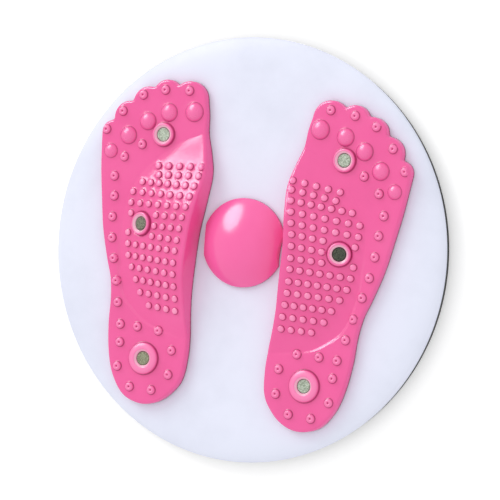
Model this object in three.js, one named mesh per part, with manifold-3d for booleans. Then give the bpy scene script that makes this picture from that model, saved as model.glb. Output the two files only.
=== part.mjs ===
// Waist twisting disc: a round plate on a ball race, with two massage pads for the feet.
// Millimetres, +Z up. The right foot stands at +X and the toes point to +Y.
// The origin is on the disc's axis, on the floor under its rubber feet.
import * as THREE from "three";
import { mergeVertices } from "three/addons/utils/BufferGeometryUtils.js";
import Module from "manifold-3d";

// Whole disc
const discDiameter = 280;
const footStand = 2.5;

// White plate
const plateWall = 2.6;
const shoulderWidth = 22;
const shoulderDrop = 6;
const skirtDrop = 2.5;
const hubRadius = 11;
const hubRise = 1.5;
const plateRibWidth = 1.8;
const plateRibDepth = 2.2;
const plateRibCount = 6;

// Black base
const baseInset = 1.4;
const baseFloor = 2.4;
const baseRibDepth = 1.8;
const baseRibWidth = 2;
const baseRibCount = 12;
const baseRimWall = 3;
const baseChamfer = 1.2;
const baseBossRadius = 13;
const lipHeight = 2;
const lipWall = 2;

// Ball bearing
const bearingRadius = 60;
const ballDiameter = 6;
const ballCount = 12;
const grooveDepth = 1.4;
const raceThickness = 2.6;
const raceWidth = 11;
const raceKeepWall = 1.8;
const raceKeepHeight = 1.5;
const cageThickness = 1.6;
const cageWidth = 9.4;

// Centre axle
const boltDiameter = 8;
const boltHeadAcrossFlats = 13;
const boltHeadHeight = 4;
const boltHeadRecess = 0.5;
const boltEndBeyondNut = 1;
const boltEndChamfer = 0.8;
const bossRoof = 2.4;
const thrustWasherRadius = 10;
const thrustWasherThickness = 1;
const bushWall = 2;
const bushFlangeWidth = 2.5;
const bushFlangeThickness = 1.2;
const topWasherRadius = 9.5;
const topWasherThickness = 1.6;
const nutHeight = 6;

// Rubber feet
const rubberFootCount = 6;
const rubberFootRadius = 11;
const rubberFootPlace = 118;
const rubberFootTaper = 1;
const rubberStemRadius = 3;
const socketWall = 1.8;

// Barbs on the stems, the pad pegs and the dome legs
const barbReach = 0.9;
const barbHeight = 2.4;

// Foot pads
const padLength = 216.5;
const padWidth = 83;
const padThickness = 6.2;
const padToDome = 2.5;
const padHeelBehind = 111.5;
const padEdgeRound = 1.8;
const padDownturn = 3;
const archRise = 11;
const archRecess = 1.2;
const archWallLean = 0.14;
const pegRadius = 3;

// Details on the pads
const studRadius = 2.3;
const studTopRadius = 1.3;
const studHeight = 1.9;
const craterRadius = 3.1;
const craterTopRadius = 2.1;
const craterHeight = 2;
const toeDomeRadius = 6.5;
const toeDomeHeight = 3.6;
const smallCollarRadius = 8;
const heelCollarRadius = 10.8;
const collarHeight = 2.8;
const collarRound = 1.6;
const archCollarTilt = THREE.MathUtils.degToRad(16);
const magnetRadius = 4.5;
const magnetThickness = 3;
const magnetDepth = 1.4;
const recessFlare = 1.3;

// Centre dome
const domeRadius = 29.3;
const domeTrim = 26.4;
const domeWall = 2.4;
const domeSkirt = 2.4;
const domeForward = 4.6;
const domeSideRadius = 46;
const domeHeadroom = 1.8;
const domeLegCount = 3;
const domeLegPlace = 23;
const domeLegWidth = 6;
const domeLegThickness = 2;

// Clearances and overruns
const seatGap = 0.3;
const turnGap = 0.3;
const boreGap = 0.1;
const ballGap = 0.2;
const rimGap = 0.8;
const lipGap = 1.2;
const cutOver = 1;
const joinOver = 0.4;
const mergeReach = 0.001;

// Facets
const plateSides = 64;
const baseSides = 48;
const raceSides = 40;
const domeSides = 32;
const smallSides = 16;
const footSides = 12;
const collarSides = 12;
const toeDomeSides = 10;
const pocketSides = 10;
const studSides = 5;
const craterSides = 6;
const pegSides = 6;
const ballSides = 8;
const ballRings = 5;
const shoulderSteps = 5;
const innerShoulderSteps = 3;
const grooveSteps = 4;
const domeSteps = 5;
const roundSteps = 2;
const capSteps = 2;
const bigToeSteps = 6;
const toeSteps = 4;

const halfTurn = Math.PI;
const fullTurn = 2 * Math.PI;

// Heights, built up from the floor
const discRadius = discDiameter / 2;
const ballRadius = ballDiameter / 2;
const boltRadius = boltDiameter / 2;
const baseUnder = footStand;
const floorUnder = baseUnder + baseRibDepth;
const floorTop = floorUnder + baseFloor;
const grooveRadius = ballRadius + ballGap;
const ballAboveRace = grooveRadius - grooveDepth;
const lowerRaceUnder = floorTop + seatGap;
const lowerRaceTop = lowerRaceUnder + raceThickness;
const ballHeight = lowerRaceTop + ballAboveRace;
const upperRaceUnder = ballHeight + ballAboveRace;
const upperRaceTop = upperRaceUnder + raceThickness;
const plateUnder = upperRaceTop + seatGap;
const plateTop = plateUnder + plateWall;
const skirtTop = plateTop - shoulderDrop;
const skirtBottom = skirtTop - skirtDrop;
const flatRadius = discRadius - shoulderWidth;
const padInnerSide = domeTrim + padToDome;
const skirtInner = discRadius - plateWall;

// Centre stack
const headUnder = baseUnder + boltHeadRecess;
const headTop = headUnder + boltHeadHeight;
const pocketRoof = headTop + seatGap;
const bossTop = pocketRoof + bossRoof;
const thrustUnder = bossTop + seatGap;
const thrustTop = thrustUnder + thrustWasherThickness;
const flangeUnder = thrustTop + turnGap;
const flangeTop = flangeUnder + bushFlangeThickness;
const hubUnder = flangeTop + seatGap;
const hubTop = plateTop + hubRise;
const topWasherUnder = hubTop + turnGap;
const topWasherTop = topWasherUnder + topWasherThickness;
const nutUnder = topWasherTop + seatGap;
const nutTop = nutUnder + nutHeight;
const boltEnd = nutTop + boltEndBeyondNut;
const domeTop = boltEnd + domeHeadroom + domeWall;

// Each mesh is worked as a solid, so that cuts and joins stay closed.
const library = await Module();
library.setup();

function solid(geometry) {
  const bare = geometry.index ? geometry.toNonIndexed() : geometry.clone();
  bare.deleteAttribute("normal");
  bare.deleteAttribute("uv");
  const merged = mergeVertices(bare, mergeReach);
  const corners = merged.index.array;
  const kept = [];
  for (let i = 0; i < corners.length; i += 3) {
    const [a, b, c] = corners.subarray(i, i + 3);
    if (a !== b && b !== c && c !== a) kept.push(a, b, c);
  }
  return new library.Manifold(
    new library.Mesh({
      numProp: 3,
      vertProperties: merged.attributes.position.array,
      triVerts: new Uint32Array(kept),
    }),
  );
}

function piece(name, body, finish) {
  const { vertProperties, triVerts } = body.getMesh();
  const geometry = new THREE.BufferGeometry();
  geometry.setAttribute("position", new THREE.BufferAttribute(vertProperties, 3));
  geometry.setIndex(new THREE.BufferAttribute(triVerts, 1));
  geometry.computeVertexNormals();
  const mesh = new THREE.Mesh(geometry, new THREE.MeshStandardMaterial(finish));
  mesh.name = name;
  return mesh;
}

// A profile of [radius, height] pairs, counter-clockwise, turned about the Z axis.
function turned(profile, sides) {
  const points = profile.map(([radius, height]) => new THREE.Vector2(radius, height));
  return solid(new THREE.LatheGeometry(points, sides).rotateX(halfTurn / 2));
}

function rod(radius, bottom, top, sides) {
  return turned([[0, bottom], [radius, bottom], [radius, top], [0, top]], sides);
}

function ring(inner, outer, bottom, top, sides) {
  return turned([[inner, bottom], [outer, bottom], [outer, top], [inner, top], [inner, bottom]], sides);
}

function block(width, depth, bottom, top, x = 0) {
  const box = new THREE.BoxGeometry(width, depth, top - bottom);
  return solid(box.translate(x, 0, (bottom + top) / 2));
}

// A hexagon as wide across its flats as said, standing on the Z axis.
function hexagon(acrossFlats, bottom, top) {
  const cornerRadius = acrossFlats / 2 / Math.cos(halfTurn / 6);
  return rod(cornerRadius, bottom, top, 6);
}

function spun(body, angle) {
  return body.rotate([0, 0, THREE.MathUtils.radToDeg(angle)]);
}

// Copies of a body at even steps round the axis, as one solid.
function around(body, count, start = 0) {
  let all = spun(body, start);
  for (let i = 1; i < count; i += 1) {
    all = all.add(spun(body, start + (i * fullTurn) / count));
  }
  return all;
}

// A quarter of an ellipse, from its end on the side round to its top.
function quarter(centreRadius, centreHeight, across, rise, steps) {
  return Array.from({ length: steps + 1 }, (_, i) => {
    const angle = ((halfTurn / 2) * i) / steps;
    return [centreRadius + across * Math.cos(angle), centreHeight + rise * Math.sin(angle)];
  });
}

// A barbed stem that passes through a wall and grips its far side, pointing down.
function barbedPeg(radius, top, wallUnder, sides) {
  const catchTop = wallUnder - seatGap;
  const tip = catchTop - barbHeight;
  return turned(
    [
      [0, tip],
      [radius - barbReach, tip],
      [radius + barbReach, catchTop],
      [radius, catchTop],
      [radius, top],
      [0, top],
    ],
    sides,
  );
}

// Finishes
const glossWhite = { color: "#e9ebf7", roughness: 0.28, metalness: 0 };
const padPink = { color: "#f768a6", roughness: 0.42, metalness: 0 };
const domePink = { color: "#f56aa6", roughness: 0.32, metalness: 0 };
const blackPlastic = { color: "#1d1e20", roughness: 0.6, metalness: 0 };
const blackRubber = { color: "#232323", roughness: 0.85, metalness: 0 };
const raceSteel = { color: "#b9bcbf", roughness: 0.35, metalness: 1 };
const ballSteel = { color: "#d3d5d8", roughness: 0.12, metalness: 1 };
const zincSteel = { color: "#c5c8cc", roughness: 0.38, metalness: 1 };
const naturalNylon = { color: "#e6e1d3", roughness: 0.55, metalness: 0 };
const magnetGrey = { color: "#8f9a8c", roughness: 0.5, metalness: 0.6 };

// Foot pads. Their outline, in shares of width (from the inner side) and length (from the heel).
const innerEdgeShares = [
  [0.35, 0], [0.209, 0.013], [0.098, 0.047], [0.022, 0.093], [0, 0.159], [0.005, 0.224],
  [0.032, 0.284], [0.058, 0.367], [0.067, 0.45], [0.061, 0.552], [0.03, 0.649], [0.006, 0.727],
  [0.037, 0.792], [0.078, 0.848], [0.093, 0.903], [0.117, 0.942],
];
const toeCrestShares = [[0.264, 1], [0.49, 0.995], [0.687, 0.961], [0.852, 0.906], [0.98, 0.836]];
const toeNotchShares = [[0.38, 0.98], [0.582, 0.965], [0.759, 0.915], [0.904, 0.85]];
const outerEdgeShares = [
  [1, 0.804], [0.971, 0.704], [0.927, 0.607], [0.88, 0.515], [0.807, 0.423], [0.755, 0.367],
  [0.729, 0.303], [0.72, 0.229], [0.687, 0.145], [0.625, 0.075], [0.51, 0.019],
];

// Stations of the arch, from toe to heel: place along the pad, outer boundary, crest's height,
// and the depth of the step round it.
const archStationShares = [
  [0.848, 0.093, 0, 0], [0.811, 0.302, 0.15, 0], [0.769, 0.434, 0.32, 0], [0.723, 0.555, 0.53, 0],
  [0.672, 0.645, 0.79, 0.15], [0.617, 0.693, 0.97, 0.5], [0.561, 0.711, 1, 1], [0.515, 0.711, 1, 1],
  [0.469, 0.711, 1, 1], [0.413, 0.697, 0.89, 1], [0.358, 0.663, 0.63, 1], [0.312, 0.603, 0.43, 1],
  [0.275, 0.495, 0.28, 1], [0.247, 0.374, 0.13, 1], [0.219, 0.061, 0, 1],
];

// Section of the arch from its rounded inner edge to its boundary: place across, and height.
const archSectionShares = [[0.14, 0.89], [0.38, 0.68], [0.62, 0.43], [0.86, 0.12], [1, 0]];

// The rounded inner edge, in shares of its own size: place across, and fall.
// On a narrow arch its size is a share of the width.
const archEdgeShares = [[0, 1], [0.29, 0.29], [1, 0]];
const archEdgeWidthShare = 0.12;

// Rows of small studs: where a row starts and ends, how many places it has, which places are free.
const studRowShares = [
  [[0.052, 0.746], [0.446, 0.731], 5, []],
  [[0.059, 0.718], [0.425, 0.704], 5, []],
  [[0.075, 0.686], [0.569, 0.675], 7, []],
  [[0.095, 0.653], [0.644, 0.641], 7, []],
  [[0.113, 0.62], [0.647, 0.607], 7, []],
  [[0.132, 0.587], [0.633, 0.575], 7, [4, 5]],
  [[0.143, 0.552], [0.627, 0.543], 7, [4, 5, 6]],
  [[0.15, 0.516], [0.639, 0.515], 7, [4, 5]],
  [[0.156, 0.483], [0.627, 0.481], 7, []],
  [[0.158, 0.446], [0.61, 0.446], 7, []],
  [[0.154, 0.411], [0.564, 0.412], 6, []],
  [[0.14, 0.374], [0.51, 0.376], 6, []],
  [[0.125, 0.337], [0.458, 0.339], 5, []],
  [[0.117, 0.3], [0.366, 0.303], 4, []],
];
const craterShares = [
  [0.268, 0.97], [0.479, 0.963], [0.668, 0.939], [0.83, 0.881], [0.954, 0.819], [0.622, 0.788],
  [0.765, 0.743], [0.83, 0.68], [0.809, 0.619], [0.801, 0.555], [0.779, 0.491], [0.741, 0.429],
  [0.69, 0.362], [0.652, 0.297], [0.604, 0.232], [0.587, 0.177], [0.582, 0.103], [0.45, 0.047],
  [0.256, 0.048], [0.126, 0.103], [0.124, 0.178], [0.261, 0.231], [0.45, 0.233],
];
// The smooth domes behind the toes, the third value is their share of the big toe's dome.
const toeDomeShares = [
  [0.202, 0.908, 1], [0.422, 0.896, 0.93], [0.598, 0.861, 0.92], [0.753, 0.81, 0.92], [0.892, 0.755, 0.75],
];
const pegShares = [
  [0.206, 0.866], [0.735, 0.848], [0.844, 0.584], [0.639, 0.307], [0.254, 0.081], [0.17, 0.552],
];
const ballCollarShares = [0.442, 0.827];
const archCollarShares = [0.516, 0.548];
const heelCollarShares = [0.359, 0.14];

const padTop = plateTop + padThickness;
const padFoot = plateTop - padDownturn;

function padPoint([across, along]) {
  return new THREE.Vector2(padInnerSide + across * padWidth, along * padLength - padHeelBehind);
}

// The arc through three points, without its first point.
function arcThrough(start, crest, end, steps) {
  const toCrest = crest.clone().sub(start);
  const toEnd = end.clone().sub(start);
  const twist = 2 * toCrest.cross(toEnd);
  const centre = new THREE.Vector2(
    (toEnd.y * toCrest.lengthSq() - toCrest.y * toEnd.lengthSq()) / twist,
    (toCrest.x * toEnd.lengthSq() - toEnd.x * toCrest.lengthSq()) / twist,
  ).add(start);
  const from = start.clone().sub(centre).angle();
  const turn = (end.clone().sub(centre).angle() - from - fullTurn) % fullTurn;
  return Array.from({ length: steps }, (_, i) => {
    const arm = start.clone().sub(centre);
    return arm.rotateAround(new THREE.Vector2(), (turn * (i + 1)) / steps).add(centre);
  });
}

// Two steps a span along a smooth curve, whose first place only steers its start.
function curveThrough(places) {
  return new THREE.SplineCurve(places).getPoints(2 * places.length - 2).slice(2);
}

function innerEdge() {
  return curveThrough([outerEdgeShares[outerEdgeShares.length - 1], ...innerEdgeShares].map(padPoint));
}

// The outline runs from the heel up the inner side, over the toes and down the outer side.
function padOutline() {
  const outline = innerEdge();
  const crests = toeCrestShares.map(padPoint);
  const ends = [...toeNotchShares, outerEdgeShares[0]].map(padPoint);
  crests.forEach((crest, i) => {
    const steps = i === 0 ? bigToeSteps : toeSteps;
    outline.push(...arcThrough(outline[outline.length - 1], crest, ends[i], steps));
  });
  const up = [innerEdgeShares[1], innerEdgeShares[0], ...outerEdgeShares.toReversed()].map(padPoint);
  return [...outline, ...curveThrough(up).slice(1, -1).reverse()];
}

// The inner edge's distance from the middle of the disc at a place along the pad.
function innerEdgeAt(y) {
  const edge = innerEdge();
  const next = Math.max(1, edge.findIndex((point, i) => i > 0 && point.y >= y));
  const [low, high] = [edge[next - 1], edge[next]];
  return THREE.MathUtils.mapLinear(y, low.y, high.y, low.x, high.x);
}

// Each station of the arch as real places: y, inner x, outer x, and the heights of its crest and foot.
const archStations = archStationShares.map(([along, across, rise, step]) => {
  const { x, y } = padPoint([across, along]);
  const crest = padTop + rise * archRise;
  return { y, inner: innerEdgeAt(y), outer: x, crest, foot: padTop - step * archRecess };
});

// The arch's upper side at a station, from its inner wall to its boundary.
function archSection({ inner, outer, crest, foot }) {
  const round = Math.min(padEdgeRound, archEdgeWidthShare * (outer - inner));
  const edge = archEdgeShares.map(([across, fall]) => [inner + across * round, crest - fall * round]);
  const slope = archSectionShares.map(([across, rise]) => [
    THREE.MathUtils.lerp(inner, outer, across),
    THREE.MathUtils.lerp(foot, crest, rise),
  ]);
  return [...edge, ...slope];
}

// The pad's upper surface: the arch within its boundary, and flat round it.
function surfaceAt(x, y) {
  const next = archStations.findIndex((station) => station.y < y);
  if (next < 1) return padTop;
  const [front, back] = [archStations[next - 1], archStations[next]];
  const step = (front.y - y) / (front.y - back.y);
  const keys = ["inner", "outer", "crest", "foot"];
  const between = keys.map((key) => [key, THREE.MathUtils.lerp(front[key], back[key], step)]);
  const section = archSection(Object.fromEntries(between));
  const past = section.findIndex(([place]) => place > x);
  if (past < 0) return padTop;
  if (past < 1) return section[0][1];
  const [near, far] = [section[past - 1], section[past]];
  return THREE.MathUtils.mapLinear(x, near[0], far[0], near[1], far[1]);
}

function extruded(points, bottom, top) {
  const shape = new THREE.Shape(points);
  const options = { depth: top - bottom, bevelEnabled: false };
  return solid(new THREE.ExtrudeGeometry(shape, options).translate(0, 0, bottom));
}

// A solid with one closed section at each station, joined side by side.
function lofted(sections) {
  const count = sections[0].length;
  const corners = [];
  const quad = (a, b, c, d) => corners.push(...a, ...b, ...c, ...a, ...c, ...d);
  for (let i = 0; i + 1 < sections.length; i += 1) {
    for (let j = 0; j < count; j += 1) {
      const k = (j + 1) % count;
      quad(sections[i][j], sections[i][k], sections[i + 1][k], sections[i + 1][j]);
    }
  }
  const cap = (section, flip) => {
    const flat = section.map(([x, , z]) => new THREE.Vector2(x, z));
    for (const [a, b, c] of THREE.ShapeUtils.triangulateShape(flat, [])) {
      const order = flip ? [a, c, b] : [a, b, c];
      order.forEach((index) => corners.push(...section[index]));
    }
  };
  cap(sections[0], true);
  cap(sections[sections.length - 1], false);
  const geometry = new THREE.BufferGeometry();
  return solid(geometry.setAttribute("position", new THREE.Float32BufferAttribute(corners, 3)));
}

// The block under the arch's surface, a little wider than the space cut for it in the slab.
function archBody() {
  return lofted(
    archStations.map((station) => {
      const inner = station.inner - archWallLean * (station.crest - padTop);
      const outer = station.outer + joinOver;
      const under = [[inner, padFoot], [outer, padFoot], [outer, station.foot]];
      return [...under, ...archSection(station).reverse()].map(([x, z]) => [x, station.y, z]);
    }),
  );
}

function archSpace() {
  const boundary = archStations.slice(1, -1).map(({ outer, y }) => new THREE.Vector2(outer, y));
  const ends = [archStations[archStations.length - 1], archStations[0]];
  const beyond = ends.map(({ y }) => new THREE.Vector2(padInnerSide - cutOver, y));
  return extruded([...boundary, ...beyond], padFoot - cutOver, padTop + cutOver);
}

function padSlab() {
  const shape = new THREE.Shape(padOutline());
  const options = {
    depth: padTop - padFoot - 2 * padEdgeRound,
    bevelSize: padEdgeRound,
    bevelThickness: padEdgeRound,
    bevelOffset: -padEdgeRound,
    bevelSegments: roundSteps,
  };
  const slab = new THREE.ExtrudeGeometry(shape, options);
  return solid(slab.translate(0, 0, padFoot + padEdgeRound));
}

// What the pad stands on: the plate's outside, raised by the seat's gap.
function plateEnvelope() {
  const seat = plateTop + seatGap;
  const edge = quarter(flatRadius, skirtTop + seatGap, shoulderWidth, shoulderDrop, shoulderSteps);
  const low = skirtBottom - cutOver;
  return turned([[0, low], [discRadius, low], ...edge, [0, seat]], plateSides);
}

function stud(x, y) {
  const base = surfaceAt(x, y);
  const profile = [
    [0, base - joinOver],
    [studRadius, base - joinOver],
    [studTopRadius, base + studHeight],
    [0, base + studHeight],
  ];
  return turned(profile, studSides).translate([x, y, 0]);
}

function crater([across, along]) {
  const { x, y } = padPoint([across, along]);
  const profile = [
    [0, padTop - joinOver],
    [craterRadius, padTop - joinOver],
    [craterTopRadius, padTop + craterHeight],
    [0, padTop + craterHeight],
  ];
  return turned(profile, craterSides).translate([x, y, 0]);
}

function toeDome([across, along, share]) {
  const { x, y } = padPoint([across, along]);
  const cap = quarter(0, padTop, toeDomeRadius * share, toeDomeHeight * share, capSteps);
  const profile = [[0, padTop - joinOver], [toeDomeRadius * share, padTop - joinOver], ...cap];
  return turned(profile, toeDomeSides).translate([x, y, 0]);
}

function studs() {
  return studRowShares.flatMap(([first, last, places, free]) => {
    const [start, end] = [padPoint(first), padPoint(last)];
    const row = Array.from({ length: places }, (_, i) => start.clone().lerp(end, i / (places - 1)));
    return row.filter((_, i) => !free.includes(i)).map(({ x, y }) => stud(x, y));
  });
}

// A raised collar round a magnet. Zero height is the pad's surface under the collar.
function collar(radius) {
  const skirt = padThickness - seatGap;
  const shoulder = collarHeight - collarRound;
  const round = quarter(radius - collarRound, shoulder, collarRound, collarRound, roundSteps);
  return turned([[0, -skirt], [radius, -skirt], ...round, [0, collarHeight]], collarSides);
}

function magnetPocket() {
  const face = collarHeight - magnetDepth;
  const under = face - magnetThickness - seatGap;
  const bore = magnetRadius + seatGap;
  const mouth = bore + recessFlare;
  const open = collarHeight + cutOver;
  const profile = [[0, under], [bore, under], [bore, face], [mouth, collarHeight], [mouth, open], [0, open]];
  return turned(profile, collarSides);
}

function magnet() {
  const face = collarHeight - magnetDepth;
  return rod(magnetRadius, face - magnetThickness, face, collarSides);
}

// The three collars of a pad, each with its place and the way that it leans.
const collarPlaces = [
  { name: "ball", shares: ballCollarShares, radius: smallCollarRadius, tilt: 0 },
  { name: "arch", shares: archCollarShares, radius: smallCollarRadius, tilt: archCollarTilt },
  { name: "heel", shares: heelCollarShares, radius: heelCollarRadius, tilt: 0 },
];

function placed(body, { shares, tilt }) {
  const { x, y } = padPoint(shares);
  return body.rotate([0, THREE.MathUtils.radToDeg(tilt), 0]).translate([x, y, surfaceAt(x, y)]);
}

function footPad() {
  const { Manifold } = library;
  let pad = padSlab().subtract(archSpace()).add(archBody());
  const raised = [...craterShares.map(crater), ...toeDomeShares.map(toeDome), ...studs()];
  pad = Manifold.union([pad, ...raised, ...collarPlaces.map((place) => placed(collar(place.radius), place))]);
  pad = Manifold.difference([pad, ...collarPlaces.map((place) => placed(magnetPocket(), place))]);
  pad = pad.subtract(plateEnvelope());
  const pegs = pegShares.map((shares) => {
    const { x, y } = padPoint(shares);
    return barbedPeg(pegRadius, plateTop + padThickness / 2, plateUnder, pegSides).translate([x, y, 0]);
  });
  return Manifold.union([pad, ...pegs]).simplify(mergeReach);
}

// Both pads come from one half: the left one is its mirror image.
function foot(sideName, side) {
  const group = new THREE.Group();
  group.scale.x = side;
  group.add(piece(`${sideName}_foot_pad`, footPad(), padPink));
  for (const place of collarPlaces) {
    group.add(piece(`${sideName}_${place.name}_magnet`, placed(magnet(), place), magnetGrey));
  }
  return group;
}

// The plate is a shallow dish turned upside down, with a hub, two walls that keep the upper race, and ribs.
function raceKeepers(bottom, top) {
  const reach = raceWidth / 2 + seatGap;
  const inner = bearingRadius - reach;
  const outer = bearingRadius + reach;
  return [
    ring(inner - raceKeepWall, inner, bottom, top, raceSides),
    ring(outer, outer + raceKeepWall, bottom, top, raceSides),
  ];
}

function domeLegs(width, thickness, bottom, top, place = domeLegPlace) {
  const legs = around(block(thickness, width, bottom, top, place), domeLegCount, halfTurn / 2);
  return legs.translate([0, domeForward, 0]);
}

function topPlate() {
  const { Manifold } = library;
  const width = shoulderWidth - plateWall;
  const inside = quarter(flatRadius, skirtTop, width, shoulderDrop - plateWall, innerShoulderSteps).reverse();
  const outside = quarter(flatRadius, skirtTop, shoulderWidth, shoulderDrop, shoulderSteps);
  const skirt = [[skirtInner, skirtBottom], [discRadius, skirtBottom]];
  const shell = turned([[0, plateUnder], ...inside, ...skirt, ...outside, [0, plateTop]], plateSides);
  const keepers = raceKeepers(plateUnder - raceKeepHeight, plateUnder + joinOver);
  const ribEnd = bearingRadius - raceWidth / 2 - seatGap - raceKeepWall / 2;
  const rib = block(ribEnd, plateRibWidth, plateUnder - plateRibDepth, plateUnder + joinOver, ribEnd / 2);
  const ribs = around(rib, plateRibCount);
  const hub = rod(hubRadius, hubUnder, hubTop, smallSides);
  const boreRadius = boltRadius + boreGap + bushWall + seatGap;
  const hubBore = rod(boreRadius, hubUnder - cutOver, hubTop + cutOver, smallSides);
  const cuts = [hubBore];
  for (const side of [1, -1]) {
    for (const shares of pegShares) {
      const { x, y } = padPoint(shares);
      const hole = rod(pegRadius + seatGap, plateUnder - cutOver, plateTop + cutOver, pegSides);
      const room = rod(pegRadius + barbReach + seatGap, skirtBottom, plateUnder, pegSides);
      cuts.push(...[hole, room].map((cut) => cut.scale([side, 1, 1]).translate([side * x, y, 0])));
    }
  }
  const legWidth = domeLegWidth + 2 * seatGap;
  const legThickness = domeLegThickness + 2 * seatGap;
  cuts.push(domeLegs(legWidth, legThickness, plateUnder - cutOver, plateTop + cutOver));
  return Manifold.difference([Manifold.union([shell, ...keepers, ribs, hub]), ...cuts]);
}

// The base is a flat tray with ribs under its floor, sockets for the rubber feet and a boss for the bolt.
function basePlate() {
  const { Manifold } = library;
  const radius = discRadius - baseInset;
  const rimTop = skirtBottom - rimGap;
  const lipOuter = skirtInner - lipGap;
  const lipInner = lipOuter - lipWall;
  const rimInner = radius - baseRimWall;
  const tray = turned(
    [
      [0, floorUnder],
      [rimInner, floorUnder],
      [rimInner, baseUnder],
      [radius - baseChamfer, baseUnder],
      [radius, baseUnder + baseChamfer],
      [radius, rimTop],
      [lipOuter, rimTop],
      [lipOuter, rimTop + lipHeight],
      [lipInner, rimTop + lipHeight],
      [lipInner, floorTop],
      [0, floorTop],
    ],
    baseSides,
  );
  const keepers = raceKeepers(floorTop - joinOver, floorTop + raceKeepHeight);
  const ribEnd = rimInner + joinOver;
  const rib = block(ribEnd, baseRibWidth, baseUnder, floorUnder + joinOver, ribEnd / 2);
  const boss = rod(baseBossRadius, baseUnder, bossTop, smallSides);
  const socketRadius = rubberFootRadius + seatGap;
  const atFoot = (body) => {
    const first = body.translate([rubberFootPlace, 0, 0]);
    return around(first, rubberFootCount, halfTurn / rubberFootCount);
  };
  const rim = rod(socketRadius + socketWall, baseUnder, floorUnder + joinOver, footSides);
  const cuts = [
    atFoot(rod(socketRadius, baseUnder - cutOver, floorUnder, footSides)),
    atFoot(rod(rubberStemRadius + seatGap, floorUnder - cutOver, floorTop + cutOver, footSides)),
    hexagon(boltHeadAcrossFlats + 2 * seatGap, baseUnder - cutOver, pocketRoof),
    rod(boltRadius + seatGap, baseUnder, bossTop + cutOver, smallSides),
  ];
  const whole = Manifold.union([tray, ...keepers, around(rib, baseRibCount), boss, atFoot(rim)]);
  return Manifold.difference([whole, ...cuts]);
}

// A race is a flat steel ring with a round groove. The lower one's groove faces up.
function lowerRace() {
  const inner = bearingRadius - raceWidth / 2;
  const outer = bearingRadius + raceWidth / 2;
  const half = Math.asin(ballAboveRace / grooveRadius);
  const groove = Array.from({ length: grooveSteps + 1 }, (_, i) => {
    const angle = -half - ((halfTurn - 2 * half) * i) / grooveSteps;
    return [bearingRadius + grooveRadius * Math.cos(angle), ballHeight + grooveRadius * Math.sin(angle)];
  });
  const outline = [[inner, lowerRaceUnder], [outer, lowerRaceUnder], [outer, lowerRaceTop]];
  return turned([...outline, ...groove, [inner, lowerRaceTop], [inner, lowerRaceUnder]], raceSides);
}

function upperRace() {
  return lowerRace().mirror([0, 0, 1]).translate([0, 0, 2 * ballHeight]);
}

function ballCage() {
  const bottom = ballHeight - cageThickness / 2;
  const top = ballHeight + cageThickness / 2;
  const body = ring(bearingRadius - cageWidth / 2, bearingRadius + cageWidth / 2, bottom, top, raceSides);
  const pocket = rod(ballRadius + seatGap, bottom - cutOver, top + cutOver, pocketSides);
  return body.subtract(around(pocket.translate([bearingRadius, 0, 0]), ballCount));
}

function ball(index) {
  const sphere = new THREE.SphereGeometry(ballRadius, ballSides, ballRings).rotateX(halfTurn / 2);
  const place = solid(sphere).translate([bearingRadius, 0, ballHeight]);
  return spun(place, (index * fullTurn) / ballCount);
}

function rubberFoot(index) {
  const top = floorUnder - seatGap;
  const catchUnder = floorTop + seatGap;
  const tip = catchUnder + barbHeight;
  const body = turned(
    [
      [0, 0],
      [rubberFootRadius - rubberFootTaper, 0],
      [rubberFootRadius, top],
      [rubberStemRadius, top],
      [rubberStemRadius, catchUnder],
      [rubberStemRadius + barbReach, catchUnder],
      [rubberStemRadius - barbReach, tip],
      [0, tip],
    ],
    footSides,
  );
  return spun(body.translate([rubberFootPlace, 0, 0]), ((index + 0.5) * fullTurn) / rubberFootCount);
}

function centreBolt() {
  const shank = turned(
    [
      [0, headTop - joinOver],
      [boltRadius, headTop - joinOver],
      [boltRadius, boltEnd - boltEndChamfer],
      [boltRadius - boltEndChamfer, boltEnd],
      [0, boltEnd],
    ],
    smallSides,
  );
  return hexagon(boltHeadAcrossFlats, headUnder, headTop).add(shank);
}

function hubBush() {
  const inner = boltRadius + boreGap;
  const outer = inner + bushWall;
  const flange = outer + bushFlangeWidth;
  return turned(
    [
      [inner, flangeUnder],
      [flange, flangeUnder],
      [flange, flangeTop],
      [outer, flangeTop],
      [outer, hubTop],
      [inner, hubTop],
      [inner, flangeUnder],
    ],
    smallSides,
  );
}

function lockNut() {
  const bore = rod(boltRadius + boreGap, nutUnder - cutOver, nutTop + cutOver, smallSides);
  return hexagon(boltHeadAcrossFlats, nutUnder, nutTop).subtract(bore);
}

// The dome is a hollow cap on a short upright skirt. Each side next to a pad is a shallow hollow, and three
// legs snap into the plate. It stands a little nearer to the toes than the axle.
function capProfile(radius, under, skirt, top) {
  const rise = top - under - skirt;
  const capRadius = (radius * radius + rise * rise) / (2 * rise);
  const half = Math.asin(Math.min(1, radius / capRadius));
  const arc = Array.from({ length: domeSteps + 1 }, (_, i) => {
    const angle = (half * (domeSteps - i)) / domeSteps;
    return [capRadius * Math.sin(angle), top - capRadius * (1 - Math.cos(angle))];
  });
  return [[0, under], [radius, under], ...arc];
}

// A cap between two upright round walls, whose nearest points are at the trim given.
function domeCap(radius, under, skirt, top, trim) {
  const wallRadius = domeTrim + domeSideRadius - trim;
  const side = rod(wallRadius, plateUnder, domeTop + cutOver, domeSides);
  const sides = [1, -1].map((way) => side.translate([way * (domeTrim + domeSideRadius), 0, 0]));
  const cap = turned(capProfile(radius, under, skirt, top), domeSides);
  return library.Manifold.difference([cap, ...sides]).translate([0, domeForward, 0]);
}

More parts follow.
